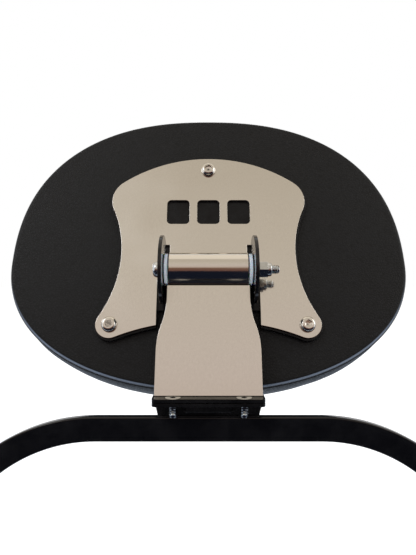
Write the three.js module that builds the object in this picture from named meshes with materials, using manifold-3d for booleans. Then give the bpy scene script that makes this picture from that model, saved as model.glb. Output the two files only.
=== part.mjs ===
// A rider's backrest for a motorcycle: an oval pad on two stacked steel plates, hinged by one
// through bolt to a flat arm that stands on a flat-bar hoop.
//
// Millimetres, +Z up, +X to the right seen from behind, the back of the pad faces -Y.
// Pieces that share the lean of the pad are drawn in a frame whose origin is the hinge axis,
// X along the bolt, Y into the pad and Z up the pad, and that frame is then leaned.

import * as THREE from 'three';
import { mergeVertices } from 'three/addons/utils/BufferGeometryUtils.js';
import Module from 'manifold-3d';

const wasm = await Module();
wasm.setup();

// ---- driving dimensions -------------------------------------------------------------------

const GAP = 0.3;                     // between pieces that touch
const PAST = 1;                      // how far a cutting tool runs past what it cuts
const LEAN = THREE.MathUtils.degToRad(20);

const PAD = {
  halfWidth: 138,
  widestAt: 13,                      // height of the widest line above the hinge axis
  rise: 119.5,                       // from the widest line to the top
  drop: 88,                          // from the widest line to the bottom
  squareTop: 2.35,                   // superellipse exponents, 2 would be an ellipse
  squareBottom: 2.15,
  boxing: 42,                        // straight part of the side
  round: 12,                         // side turning into the front
  crown: 6,                          // swell of the front
  skin: 1.8,
  panel: 2,                          // back panel
  board: 9,
  boardInset: 4,                     // board ends this far inside the skin
};

const PLATE = {
  cover: 2,
  base: 3,
  rim: 1.5,                          // base plate stands out this much round the cover plate
  standoff: 14.5,                    // hinge axis to the rear face of the cover plate
  archRadius: 105,
  archTop: 93.8,
  shoulderRadius: 18,
  waistCentre: [145.6, 17],
  lobeCentre: [65, -32.7],
  lobeRadius: 9.3,
  footRadius: 140,                   // hollow lower edge between lobe and notch
  notch: 34.5,                       // half widths and heights of the notch and its slots
  notchFoot: -33.4,
  slotTop: 23.9,
  slotInner: 28.1,
  tongueFoot: -12,
  baseNotchTop: -23,
};
const WINDOW = { width: 16, height: 19, pitch: 21.5, centre: 49.7, corner: 3, count: 3 };
const SCREW_PLACES = { top: [0, 84], left: [-65, -33], right: [65, -33] };

const M6 = {
  shank: 3, hole: 3.3, socket: 2.3, socketDepth: 2,
  head: 5.25, headHeight: 3.3, headRim: 0.6, headFlat: 2.2,
  point: 1, pointTaper: 0.8,
};
const M5 = {
  shank: 2.5, hole: 2.8, socket: 1.75, socketDepth: 1,
  head: 4.6, headHeight: 1.5,
  point: 0.8, pointTaper: 0.6,
};
const TEE_NUT = { flange: 9.5, flangeThick: 1.5, sleeve: 4, sleeveLength: 7.5 };

const EAR = { inner: 28.7, thick: 2.3, radius: 22.3, foot: 17 };
const BARREL = { length: 51.4, radius: 11, bore: 6.3 };
const BUSH = { radius: 10.25, flange: 2.4, sleeve: 6, sleeveLength: 15 };
const NUT = { acrossFlats: 10, hexHeight: 5.6, collarRadius: 4.6, collarHeight: 2.6 };
const NUT_TURN = THREE.MathUtils.degToRad(-10);  // a corner of the nut faces straight back
const WASHER = { radius: 6, thick: 1.2 };
const BOLT_END = 46.2;

const ARM = { thick: 4, top: -11.4, slimHalf: 26.5, wideHalf: 32.2, flareTop: -20, flareFoot: -54 };

const FOOT_PLATE = { halfWidth: 33, top: -75.1, thick: 2.1, rear: -37.4, front: -19.4, corner: 3 };
const BRACKET = { flange: 2.1, webThick: 4, webSetback: 1, webHalfTop: 32.6, webHalfFoot: 30.4 };
const BRACKET_SCREW = { x: 20.8, y: -32.5, length: 11.5 };
const GUSSET = { halfWidth: 13.5, height: 4, reach: 8 };

const HOOP = {
  bar: 15,                           // height of the bar in the plane of the hoop
  thick: 6,
  rear: -25.4,
  topEdge: -88.6,
  straightHalf: 68,
  shoulderRadius: 102.5,             // to the middle of the bar
  shoulderAngle: THREE.MathUtils.degToRad(35),
  cornerRadius: 50,
  leg: 85,
};
const LUG = {
  thick: 6, width: 34, corner: 16, rear: -28, above: 28, below: 26, hole: 4.25, holePitch: 30,
};

// ---- colours ------------------------------------------------------------------------------

const finish = (color, roughness, metalness) =>
  new THREE.MeshStandardMaterial({ color, roughness, metalness });

const polishedSteel = () => finish(0xc9c1b4, 0.12, 1);
const blackPaint = () => finish(0x141416, 0.35, 0.1);
const zinc = () => finish(0xbfc3c8, 0.3, 1);
const nylon = () => finish(0xc4cdd6, 0.45, 0);
const leatherette = () => finish(0x26272a, 0.55, 0);
const plywood = () => finish(0xc8a676, 0.7, 0);
const foam = () => finish(0xd9cfa8, 0.9, 0);

// ---- solids -------------------------------------------------------------------------------

// A closed three.js geometry as a manifold solid.
function solid(geometry) {
  const bare = geometry.clone();
  bare.deleteAttribute('normal');
  bare.deleteAttribute('uv');
  const merged = mergeVertices(bare, 1e-4);
  return new wasm.Manifold(new wasm.Mesh({
    numProp: 3,
    vertProperties: new Float32Array(merged.attributes.position.array),
    triVerts: new Uint32Array(merged.index.array),
  }));
}

// A manifold solid back as a three.js geometry.
function geometryOf(manifold) {
  const mesh = manifold.getMesh();
  const geometry = new THREE.BufferGeometry();
  geometry.setAttribute('position', new THREE.BufferAttribute(mesh.vertProperties, 3));
  geometry.setIndex(new THREE.BufferAttribute(mesh.triVerts, 1));
  geometry.computeVertexNormals();
  return geometry;
}

const cut = (geometry, ...tools) =>
  geometryOf(tools.reduce((rest, tool) => rest.subtract(solid(tool)), solid(geometry)));

const join = (geometry, ...others) =>
  geometryOf(others.reduce((sum, other) => sum.add(solid(other)), solid(geometry)));

const sheetOf = (shape, depth) =>
  new THREE.ExtrudeGeometry(shape, { depth, bevelEnabled: false, curveSegments: 5 });

// A flat plate: the outline lies in X and Z, the thickness runs from y to y + thick.
function plateAlongY(shape, y, thick) {
  const geometry = sheetOf(shape, thick);
  geometry.rotateX(Math.PI / 2);
  geometry.translate(0, y + thick, 0);
  return geometry;
}

// A flat plate: the outline lies in Y and Z, the thickness runs from x to x + thick.
function plateAlongX(shape, x, thick) {
  const geometry = sheetOf(shape, thick);
  geometry.rotateY(Math.PI / 2);
  geometry.rotateX(Math.PI / 2);
  geometry.translate(x, 0, 0);
  return geometry;
}

// A round solid on the X axis, from (x, radius) pairs.
function turnedAlongX(profile, segments = 28) {
  const points = profile.map(([x, radius]) => new THREE.Vector2(radius, x));
  const geometry = new THREE.LatheGeometry(points, segments);
  geometry.rotateZ(-Math.PI / 2);
  return geometry;
}

// The same along +Y or +Z.
function turnedAlongY(profile, segments = 28) {
  return turnedAlongX(profile, segments).rotateZ(Math.PI / 2);
}

function turnedAlongZ(profile, segments = 28) {
  return turnedAlongX(profile, segments).rotateY(-Math.PI / 2);
}

// A plain rod for the turned helpers.
const rod = (from, to, radius) => [[from, 0], [from, radius], [to, radius], [to, 0]];

function arcPoints(centre, radius, from, to, steps) {
  const points = [];
  for (let i = 0; i <= steps; i += 1) {
    const angle = from + (to - from) * i / steps;
    points.push(new THREE.Vector2(
      centre[0] + radius * Math.cos(angle),
      centre[1] + radius * Math.sin(angle),
    ));
  }
  return points;
}

const mirrored = (points) => points.map((p) => new THREE.Vector2(-p.x, p.y)).reverse();

function roundedRectangle(left, bottom, width, height, corner) {
  const right = left + width;
  const top = bottom + height;
  const quarter = Math.PI / 2;
  const shape = new THREE.Shape();
  shape.absarc(right - corner, bottom + corner, corner, -quarter, 0);
  shape.absarc(right - corner, top - corner, corner, 0, quarter);
  shape.absarc(left + corner, top - corner, corner, quarter, 2 * quarter);
  shape.absarc(left + corner, bottom + corner, corner, 2 * quarter, 3 * quarter);
  return shape;
}

const bearing = (from, to) => Math.atan2(to[1] - from[1], to[0] - from[0]);

// Where two circles meet; side +1 is the meeting point to the left of the line from a to b.
function circlesMeet(a, radiusA, b, radiusB, side) {
  const distance = Math.hypot(b[0] - a[0], b[1] - a[1]);
  const along = (radiusA ** 2 - radiusB ** 2 + distance ** 2) / (2 * distance);
  const across = side * Math.sqrt(radiusA ** 2 - along ** 2);
  const ux = (b[0] - a[0]) / distance;
  const uy = (b[1] - a[1]) / distance;
  return [a[0] + along * ux - across * uy, a[1] + along * uy + across * ux];
}

// ---- layers through the pad, measured from the hinge axis -----------------------------------

const coverRear = PLATE.standoff;
const baseRear = coverRear + PLATE.cover + GAP;
const panelRear = baseRear + PLATE.base + GAP;
const boardRear = panelRear + PAD.panel + GAP;
const teeNutFace = boardRear + PAD.board + GAP;
const foamRear = teeNutFace + TEE_NUT.flangeThick + GAP;
const sideFront = boardRear + PAD.boxing;

// ---- outline of the steel plates --------------------------------------------------------------

// The right half of the plates, from the top centre to the foot of the notch. Every stretch is an
// arc that runs smoothly into the next; grow widens the plate all round.
function halfPlate(grow) {
  const arch = [0, PLATE.archTop - PLATE.archRadius];
  const waist = PLATE.waistCentre;
  const lobe = PLATE.lobeCentre;
  const waistRadius = Math.hypot(waist[0] - lobe[0], waist[1] - lobe[1]) - PLATE.lobeRadius;
  const shoulder = circlesMeet(
    arch, PLATE.archRadius - PLATE.shoulderRadius,
    waist, waistRadius + PLATE.shoulderRadius, 1,
  );
  const foot = circlesMeet(
    [PLATE.notch, PLATE.notchFoot], PLATE.footRadius,
    lobe, PLATE.footRadius + PLATE.lobeRadius, -1,
  );
  const archEnd = bearing(arch, shoulder);
  const waistStart = bearing(waist, shoulder);
  const waistEnd = bearing(waist, lobe) + 2 * Math.PI;
  const lobeStart = bearing(lobe, waist);
  const lobeEnd = bearing(lobe, foot);
  const footEnd = bearing(foot, [PLATE.notch, PLATE.notchFoot]);
  return [
    ...arcPoints(arch, PLATE.archRadius + grow, Math.PI / 2, archEnd, 10).slice(1),
    ...arcPoints(shoulder, PLATE.shoulderRadius + grow, archEnd, waistStart - Math.PI, 8).slice(1),
    ...arcPoints(waist, waistRadius - grow, waistStart, waistEnd, 12).slice(1),
    ...arcPoints(lobe, PLATE.lobeRadius + grow, lobeStart, lobeEnd, 12).slice(1),
    ...arcPoints(foot, PLATE.footRadius - grow, bearing(foot, lobe), footEnd, 5).slice(1),
  ];
}

// Closes both halves through the notch, whose corners on the right side are given.
function plateShape(grow, notchCorners) {
  const corners = notchCorners.map(([x, z]) => new THREE.Vector2(x, z));
  const right = [...halfPlate(grow), ...corners];
  const top = new THREE.Vector2(0, PLATE.archTop + grow);
  return new THREE.Shape([top, ...right, ...mirrored(right)]);
}

const screwHoles = (rear, thick) => Object.values(SCREW_PLACES).map(([x, z]) =>
  turnedAlongY(rod(rear - PAST, rear + thick + PAST, M6.hole), 16).translate(x, 0, z));

function coverPlate() {
  const shape = plateShape(0, [
    [PLATE.notch, PLATE.slotTop],
    [PLATE.slotInner, PLATE.slotTop],
    [PLATE.slotInner, PLATE.tongueFoot],
  ]);
  for (let i = 0; i < WINDOW.count; i += 1) {
    const middle = (i - (WINDOW.count - 1) / 2) * WINDOW.pitch;
    shape.holes.push(roundedRectangle(
      middle - WINDOW.width / 2, WINDOW.centre - WINDOW.height / 2,
      WINDOW.width, WINDOW.height, WINDOW.corner,
    ));
  }
  const sheet = plateAlongY(shape, coverRear, PLATE.cover);
  return cut(sheet, ...screwHoles(coverRear, PLATE.cover));
}

function basePlate() {
  const shape = plateShape(PLATE.rim, [[PLATE.notch, PLATE.baseNotchTop]]);
  return cut(plateAlongY(shape, baseRear, PLATE.base), ...screwHoles(baseRear, PLATE.base));
}

// A lug round the bolt whose straight sides run down to the base plate it is welded to.
function ear(x) {
  const shape = new THREE.Shape();
  const sideAngle = Math.asin(EAR.foot / EAR.radius);
  shape.absarc(0, 0, EAR.radius, sideAngle, 2 * Math.PI - sideAngle);
  shape.lineTo(baseRear - GAP, -EAR.foot);
  shape.lineTo(baseRear - GAP, EAR.foot);
  return cut(
    plateAlongX(shape, x, EAR.thick),
    turnedAlongX(rod(x - PAST, x + EAR.thick + PAST, M6.hole), 24),
  );
}

// ---- hinge ------------------------------------------------------------------------------------

// Domed head with a hexagon socket, its flat side at zero and its dome towards minus.
function buttonScrewProfile(shankLength) {
  const dome = arcPoints([0, 0], 1, Math.PI / 2, 0, 5);
  const rise = M6.headHeight - M6.headRim;
  const swell = M6.head - M6.headFlat;
  const head = dome.map((p) => [-M6.headRim - rise * p.y, M6.headFlat + swell * p.x]);
  return [
    [-M6.headHeight, 0],
    ...head,
    [0, M6.head],
    [0, M6.shank],
    [shankLength - M6.point, M6.shank],
    [shankLength, M6.shank - M6.pointTaper],
    [shankLength, 0],
  ];
}

function socketAlongX(at) {
  const acrossCorners = M6.socket / Math.cos(Math.PI / 6);
  return turnedAlongX(rod(at - PAST, at + M6.socketDepth, acrossCorners), 6);
}

const washerFace = EAR.inner + EAR.thick + GAP;
const fastenerFace = washerFace + WASHER.thick + GAP;

function hingeBolt() {
  const headFace = -fastenerFace;
  const screw = turnedAlongX(buttonScrewProfile(BOLT_END - headFace), 28);
  return cut(screw, socketAlongX(-M6.headHeight)).translate(headFace, 0, 0);
}

function lockNut() {
  const hexRadius = NUT.acrossFlats / 2 / Math.cos(Math.PI / 6);
  const hexEnd = fastenerFace + NUT.hexHeight;
  const collarEnd = hexEnd + NUT.collarHeight;
  const hex = turnedAlongX(rod(fastenerFace, hexEnd, hexRadius), 6).rotateX(NUT_TURN);
  const collar = turnedAlongX(rod(fastenerFace + PAST, collarEnd, NUT.collarRadius), 24);
  const thread = turnedAlongX(rod(fastenerFace - PAST, collarEnd + PAST, M6.hole), 24);
  return cut(join(hex, collar), thread);
}

function tube(from, to, radius, bore) {
  return turnedAlongX([[from, bore], [from, radius], [to, radius], [to, bore], [from, bore]]);
}

function washer(side) {
  const from = side < 0 ? -washerFace - WASHER.thick : washerFace;
  return tube(from, from + WASHER.thick, WASHER.radius, M6.hole);
}

function hingeBarrel() {
  return tube(-BARREL.length / 2, BARREL.length / 2, BARREL.radius, BARREL.bore);
}

// Top-hat bush: the sleeve sits in the barrel, the flange between barrel and ear.
function bush(side) {
  const face = side * (BARREL.length / 2 + GAP);
  const profile = [
    [face + side * BUSH.flange, M6.hole],
    [face + side * BUSH.flange, BUSH.radius],
    [face, BUSH.radius],
    [face, BUSH.sleeve],
    [face - side * BUSH.sleeveLength, BUSH.sleeve],
    [face - side * BUSH.sleeveLength, M6.hole],
    [face + side * BUSH.flange, M6.hole],
  ];
  return turnedAlongX(side < 0 ? profile : profile.reverse(), 28);
}

// ---- pad --------------------------------------------------------------------------------------

// Outline of the pad drawn in by inset: a squared oval, flatter below than above.
function padOutline(inset, steps = 60) {
  const points = [];
  for (let i = 0; i < steps; i += 1) {
    const angle = 2 * Math.PI * i / steps;
    const above = Math.sin(angle) >= 0;
    const power = 2 / (above ? PAD.squareTop : PAD.squareBottom);
    const height = (above ? PAD.rise : PAD.drop) - inset;
    points.push(new THREE.Vector2(
      (PAD.halfWidth - inset) * Math.sign(Math.cos(angle)) * Math.abs(Math.cos(angle)) ** power,
      PAD.widestAt + height * Math.sign(Math.sin(angle)) * Math.abs(Math.sin(angle)) ** power,
    ));
  }
  return points;
}

const padPlate = (inset, y, thick) => plateAlongY(new THREE.Shape(padOutline(inset)), y, thick);

// A cushion body: straight side, round front edge and a crowned front, as rings of the outline
// that close in a point at the middle of the front.
function cushion(inset, rear, skin) {
  const rings = [[inset, rear], [inset, sideFront]];
  const roundSteps = 3;
  for (let i = 1; i <= roundSteps; i += 1) {
    const angle = Math.PI / 2 * i / roundSteps;
    rings.push([
      inset + (PAD.round - skin) * (1 - Math.cos(angle)),
      sideFront + (PAD.round - skin) * Math.sin(angle),
    ]);
  }
  const crownSteps = 3;
  const frontEdge = sideFront + PAD.round - skin;
  for (let i = 1; i <= crownSteps; i += 1) {
    const share = i / (crownSteps + 1);
    rings.push([PAD.round + share * PAD.drop, frontEdge + PAD.crown * Math.sin(share * Math.PI / 2)]);
  }
  const loops = rings.map(([drawIn, y]) => padOutline(drawIn).map((p) => [p.x, y, p.y]));
  const positions = [[0, rear, PAD.widestAt], ...loops.flat()];
  positions.push([0, frontEdge + PAD.crown, PAD.widestAt]);
  const count = loops[0].length;
  const last = positions.length - 1;
  const triangles = [];
  for (let i = 0; i < count; i += 1) {
    const next = (i + 1) % count;
    triangles.push(0, 1 + i, 1 + next);
    for (let ring = 0; ring < loops.length - 1; ring += 1) {
      const a = 1 + ring * count + i;
      const b = 1 + ring * count + next;
      triangles.push(a, a + count, b, b, a + count, b + count);
    }
    const start = 1 + (loops.length - 1) * count;
    triangles.push(start + i, last, start + next);
  }
  const geometry = new THREE.BufferGeometry();
  geometry.setAttribute('position', new THREE.Float32BufferAttribute(positions.flat(), 3));
  geometry.setIndex(triangles);
  return geometry;
}

// The sewn sleeve of side and front, open at the back where the back panel closes it.
function padCover() {
  return cut(
    cushion(0, boardRear, 0),
    cushion(PAD.skin, boardRear - PAST, PAD.skin),
  );
}

function padFoam() {
  const clearance = PAD.skin + GAP;
  return cushion(clearance, foamRear, clearance);
}

function padBoard() {
  const board = padPlate(PAD.skin + PAD.boardInset, boardRear, PAD.board);
  const holes = Object.values(SCREW_PLACES).map(([x, z]) => turnedAlongY(
    rod(boardRear - PAST, boardRear + PAD.board + PAST, TEE_NUT.sleeve + GAP), 20,
  ).translate(x, 0, z));
  return cut(board, ...holes);
}

function backPanel() {
  return cut(padPlate(0, panelRear, PAD.panel), ...screwHoles(panelRear, PAD.panel));
}

// Button-head screw from behind, through both plates and the panel into the tee nut.
function padScrew([x, z]) {
  const length = teeNutFace - coverRear - M6.point;
  const screw = cut(turnedAlongX(buttonScrewProfile(length), 24), socketAlongX(-M6.headHeight));
  return screw.rotateZ(Math.PI / 2).translate(x, coverRear - GAP, z);
}

function teeNut([x, z]) {
  const front = teeNutFace + TEE_NUT.flangeThick;
  const back = teeNutFace - TEE_NUT.sleeveLength;
  return turnedAlongY([
    [back, M6.hole], [back, TEE_NUT.sleeve], [teeNutFace, TEE_NUT.sleeve],
    [teeNutFace, TEE_NUT.flange], [front, TEE_NUT.flange], [front, M6.hole], [back, M6.hole],
  ], 20).translate(x, 0, z);
}

// ---- arm and bracket ----------------------------------------------------------------------------

const footPlateUnder = FOOT_PLATE.top - FOOT_PLATE.thick;
const flangeTop = footPlateUnder - GAP;
const flangeUnder = flangeTop - BRACKET.flange;
const webRear = HOOP.rear + BRACKET.webSetback;

// Slim at the barrel, flaring in an S curve to the width of its foot. It is drawn leaned, so its
// foot can be cut level with the foot plate.
function arm() {
  const spare = 10;                  // cut away again when the foot is made level
  const foot = (FOOT_PLATE.top - spare) / Math.cos(LEAN);
  const right = [new THREE.Vector2(ARM.slimHalf, ARM.top)];
  const flareSteps = 10;
  for (let i = 0; i <= flareSteps; i += 1) {
    const share = i / flareSteps;
    const blend = (1 - Math.cos(share * Math.PI)) / 2;
    right.push(new THREE.Vector2(
      ARM.slimHalf + (ARM.wideHalf - ARM.slimHalf) * blend,
      ARM.flareTop + (ARM.flareFoot - ARM.flareTop) * share,
    ));
  }
  right.push(new THREE.Vector2(ARM.wideHalf, foot));
  const sheet = plateAlongY(
    new THREE.Shape([...right, ...mirrored(right)]), -ARM.thick / 2, ARM.thick,
  );
  const below = new THREE.BoxGeometry(4 * ARM.wideHalf, 4 * ARM.wideHalf, 4 * spare);
  below.translate(0, FOOT_PLATE.rear, FOOT_PLATE.top + GAP - 2 * spare);
  return cut(sheet.rotateX(-LEAN), below);
}

// A level plate the size of the foot, with rounded corners.
function levelPlate(under, thick) {
  const { halfWidth, rear, front, corner } = FOOT_PLATE;
  const shape = roundedRectangle(-halfWidth, rear, 2 * halfWidth, front - rear, corner);
  return sheetOf(shape, thick).translate(0, 0, under);
}

const bracketScrewHoles = () => [-1, 1].map((side) => turnedAlongZ(
  rod(flangeUnder - PAST, FOOT_PLATE.top + PAST, M5.hole), 20,
).translate(side * BRACKET_SCREW.x, BRACKET_SCREW.y, 0));

const countersink = (side) => turnedAlongZ([
  [FOOT_PLATE.top - M5.headHeight - GAP, 0],
  [FOOT_PLATE.top - M5.headHeight - GAP, M5.hole],
  [FOOT_PLATE.top, M5.head + GAP],
  [FOOT_PLATE.top + PAST, M5.head + GAP],
  [FOOT_PLATE.top + PAST, 0],
], 24).translate(side * BRACKET_SCREW.x, BRACKET_SCREW.y, 0);

function footPlate() {
  const plate = levelPlate(footPlateUnder, FOOT_PLATE.thick);
  return cut(plate, ...bracketScrewHoles(), countersink(-1), countersink(1));
}

// Flange under the foot plate and a tapered web that stands on the hoop, one bent piece.
function hoopBracket() {
  const flange = levelPlate(flangeUnder, BRACKET.flange);
  const webTop = flangeUnder + BRACKET.flange / 4;
  const web = new THREE.Shape([
    [-BRACKET.webHalfFoot, HOOP.topEdge + GAP],
    [BRACKET.webHalfFoot, HOOP.topEdge + GAP],
    [BRACKET.webHalfTop, webTop],
    [-BRACKET.webHalfTop, webTop],
  ].map(([x, z]) => new THREE.Vector2(x, z)));
  return cut(join(flange, plateAlongY(web, webRear, BRACKET.webThick)), ...bracketScrewHoles());
}

// A block welded under the middle of the flange, against the web.
function centreGusset() {
  const block = new THREE.BoxGeometry(2 * GUSSET.halfWidth, GUSSET.reach, GUSSET.height);
  return block.translate(
    0, webRear - GAP - GUSSET.reach / 2, flangeUnder - GAP - GUSSET.height / 2,
  );
}

function bracketScrew(side) {
  const top = FOOT_PLATE.top;
  const end = top - BRACKET_SCREW.length;
  const screw = turnedAlongZ([
    [end, 0], [end, M5.shank - M5.pointTaper], [end + M5.point, M5.shank],
    [top - M5.headHeight, M5.shank], [top, M5.head], [top, 0],
  ], 24);
  const socket = turnedAlongZ(rod(top - M5.socketDepth, top + PAST, M5.socket), 6);
  return cut(screw, socket).translate(side * BRACKET_SCREW.x, BRACKET_SCREW.y, 0);
}

// ---- hoop ---------------------------------------------------------------------------------------

const hoopMiddle = HOOP.topEdge - HOOP.bar / 2;
const shoulderCentre = [HOOP.straightHalf, hoopMiddle - HOOP.shoulderRadius];
const cornerCentre = [
  shoulderCentre[0] + (HOOP.shoulderRadius - HOOP.cornerRadius) * Math.sin(HOOP.shoulderAngle),
  shoulderCentre[1] + (HOOP.shoulderRadius - HOOP.cornerRadius) * Math.cos(HOOP.shoulderAngle),
];
const legX = cornerCentre[0] + HOOP.cornerRadius;
const legFoot = cornerCentre[1] - HOOP.leg;

// The right half of one edge of the bar, offset from its middle line.
function hoopEdge(offset) {
  const turn = Math.PI / 2 - HOOP.shoulderAngle;
  return [
    ...arcPoints(shoulderCentre, HOOP.shoulderRadius + offset, Math.PI / 2, turn, 8),
    ...arcPoints(cornerCentre, HOOP.cornerRadius + offset, turn, 0, 10).slice(1),
    new THREE.Vector2(legX + offset, legFoot),
  ];
}

function hoop() {
  const outer = hoopEdge(HOOP.bar / 2);
  const innerBack = hoopEdge(-HOOP.bar / 2).reverse();
  const outline = [...mirrored(outer), ...outer, ...innerBack, ...mirrored(innerBack)];
  return plateAlongY(new THREE.Shape(outline), HOOP.rear, HOOP.thick);
}

// A fixing lug welded to the inner edge of a leg, with two bolt holes through it.
function lug(side) {
  const bottom = legFoot - LUG.below;
  const height = LUG.above + LUG.below;
  const inner = legX - HOOP.bar / 2 - GAP - LUG.thick;
  const x = side > 0 ? inner : -inner - LUG.thick;
  const shape = roundedRectangle(LUG.rear, bottom, LUG.width, height, LUG.corner);
  const middle = [LUG.rear + LUG.width / 2, bottom + height / 2];
  const holes = [-1, 1].map((end) => turnedAlongX(
    rod(x - PAST, x + LUG.thick + PAST, LUG.hole), 24,
  ).translate(0, middle[0], middle[1] + end * LUG.holePitch / 2));
  return cut(plateAlongX(shape, x, LUG.thick), ...holes);
}

// ---- assembly -------------------------------------------------------------------------------------

function named(name, geometry, material) {
  const mesh = new THREE.Mesh(geometry, material);
  mesh.name = name;
  return mesh;
}

const fixed = new THREE.Group();
fixed.add(
  named('hoop', hoop(), blackPaint()),
  named('hoop_bracket', hoopBracket(), blackPaint()),
  named('centre_gusset', centreGusset(), blackPaint()),
  named('foot_plate', footPlate(), blackPaint()),
  named('arm', arm(), polishedSteel()),
  named('hinge_barrel', hingeBarrel(), polishedSteel()),
);
for (const [side, word] of [[-1, 'left'], [1, 'right']]) {
  fixed.add(
    named(`${word}_bush`, bush(side), nylon()),
    named(`${word}_bracket_screw`, bracketScrew(side), zinc()),
    named(`${word}_lug`, lug(side), blackPaint()),
  );
}

const pad = new THREE.Group();
pad.rotation.x = -LEAN;
pad.add(
  named('cover_plate', coverPlate(), polishedSteel()),
  named('base_plate', basePlate(), blackPaint()),
  named('left_ear', ear(-EAR.inner - EAR.thick), blackPaint()),
  named('right_ear', ear(EAR.inner), blackPaint()),
  named('hinge_bolt', hingeBolt(), zinc()),
  named('bolt_washer', washer(-1), zinc()),
  named('nut_washer', washer(1), zinc()),
  named('lock_nut', lockNut(), zinc()),
  named('back_panel', backPanel(), leatherette()),
  named('pad_board', padBoard(), plywood()),
  named('pad_foam', padFoam(), foam()),
  named('pad_cover', padCover(), leatherette()),
);
for (const [word, place] of Object.entries(SCREW_PLACES)) {
  pad.add(
    named(`${word}_pad_screw`, padScrew(place), polishedSteel()),
    named(`${word}_tee_nut`, teeNut(place), zinc()),
  );
}

// The origin is the middle of the backrest in plan, level with the ends of the lugs.
const backrest = new THREE.Group();
backrest.add(fixed, pad);
const box = new THREE.Box3().setFromObject(backrest, true);
const middle = box.getCenter(new THREE.Vector3());
backrest.position.set(0, -middle.y, -box.min.z);

export default backrest;
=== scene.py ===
import math

import bmesh
import bpy
from bpy.props import FloatProperty, FloatVectorProperty, IntProperty, PointerProperty
from mathutils import Matrix, Vector
from mathutils.bvhtree import BVHTree


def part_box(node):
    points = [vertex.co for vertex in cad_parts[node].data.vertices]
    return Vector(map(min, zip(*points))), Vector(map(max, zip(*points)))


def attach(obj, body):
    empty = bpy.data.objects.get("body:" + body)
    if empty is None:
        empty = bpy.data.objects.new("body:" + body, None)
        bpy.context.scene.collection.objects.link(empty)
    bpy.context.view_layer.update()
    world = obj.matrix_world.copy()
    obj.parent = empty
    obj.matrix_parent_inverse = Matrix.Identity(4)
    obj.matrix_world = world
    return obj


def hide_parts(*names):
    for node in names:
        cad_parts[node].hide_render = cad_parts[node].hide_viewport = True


bl_info = {
    "name": "Rider Backrest",
    "version": (1, 0, 0),
    "blender": (4, 5, 0),
    "location": "3D View > Sidebar > Backrest",
    "description": "Builds the visual pieces of a hinged rider's backrest over its CAD frame",
    "category": "Object",
}

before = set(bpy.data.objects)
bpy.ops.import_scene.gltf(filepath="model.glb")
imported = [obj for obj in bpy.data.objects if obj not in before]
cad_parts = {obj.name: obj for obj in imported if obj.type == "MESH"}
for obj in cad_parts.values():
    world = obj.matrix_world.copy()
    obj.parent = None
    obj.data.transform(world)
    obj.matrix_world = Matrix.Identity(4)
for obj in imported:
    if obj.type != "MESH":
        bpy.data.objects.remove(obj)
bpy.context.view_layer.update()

# Pieces are modelled in millimetres from the hinge axis: X along the bolt, Y into the pad, Z up.
# LEANED lays that frame back with the pad, UPRIGHT keeps it level.
LEAN = math.radians(20)
MM = 0.001
BARREL_LOW, BARREL_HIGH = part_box("hinge_barrel")
HINGE = (BARREL_LOW + BARREL_HIGH) / 2
UPRIGHT = Matrix.Translation(HINGE) @ Matrix.Scale(MM, 4)
LEANED = Matrix.Translation(HINGE) @ Matrix.Rotation(-LEAN, 4, "X") @ Matrix.Scale(MM, 4)

PLACES = {"pad": LEANED, "frame": UPRIGHT}

X, Y, Z = Vector((1, 0, 0)), Vector((0, 1, 0)), Vector((0, 0, 1))
GAP = 0.3
SIDES = (("left", -1), ("right", 1))

# Layers through the pad, along Y
COVER_REAR, COVER_THICK = 14.5, 2.0
BASE_REAR, BASE_THICK = 16.8, 3.0
SKIN_REAR = 20.1
SEAM_AT = 24.6
TEE_NUT_FACE = 31.7
SIDE_FRONT = 64.4
FRONT = 76.4

# Outline of the pad, a squared oval
PAD_HALF_WIDTH, PAD_WIDEST_AT, PAD_RISE, PAD_DROP = 138, 13, 119.5, 88
SQUARE_TOP, SQUARE_BOTTOM = 2.35, 2.15
PAD_ROUND, PAD_CROWN = 12, 6

# Steel plates on the pad: the slots for the ears, the notch for the arm, and the three windows
PLATE_ARCH = 93.8
SLOT_OUTER, SLOT_INNER, SLOT_TOP = 34.5, 26.8, 23.9
NOTCH_TOP, BASE_NOTCH_TOP, BASE_GROW = -12, -23, 1.5
WINDOW_WIDTH, WINDOW_HEIGHT, WINDOW_LOW, WINDOW_STEP, WINDOW_CORNER = 16, 19, 40.2, 21.5, 3
SCREW_PLACES = {"top": (0, 84, 0.2), "left": (-65, -33, 0.45), "right": (65, -33, 0.05)}
EAR_RADIUS, EAR_HALF_FOOT, EAR_INNER, EAR_THICK = 22.3, 17, 28.7, 2.3

# Barrel and its bushes
BARREL_HALF, BARREL_RADIUS, BARREL_BORE = 25.7, 11, 6.3
BUSH_RADIUS, BUSH_FLANGE, BUSH_SLEEVE, BUSH_SLEEVE_LENGTH = 10.25, 2.4, 6, 15

# Level pieces under the hinge
PLATE_TOP, PLATE_THICK = -75.1, 2.1
PLATE_REAR, PLATE_FRONT, PLATE_HALF = -37.4, -19.4, 33
FLANGE_TOP = PLATE_TOP - PLATE_THICK - GAP
FLANGE_THICK = 2.1
FLANGE_UNDER = FLANGE_TOP - FLANGE_THICK
BRACKET_SCREW_X, BRACKET_SCREW_Y = 20.8, -32.5
HOOP_REAR, HOOP_THICK, HOOP_BAR, HOOP_TOP = -25.4, 6, 15, -88.6
HOOP_STRAIGHT, HOOP_SHOULDER, HOOP_CORNER, HOOP_LEG = 68, 102.5, 50, 85
HOOP_SHOULDER_TURN = math.radians(35)
LEG_X = 148.11
LUG_HOLE, LUG_HOLE_STEP = 4.25, 15

# Arm
ARM_SLIM, ARM_WIDE, ARM_THICK, ARM_TOP, ARM_CUT = 26.5, 32.2, 4, -11.4, -95
FLARE_TOP, FLARE_FOOT = -20, -54

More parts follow.
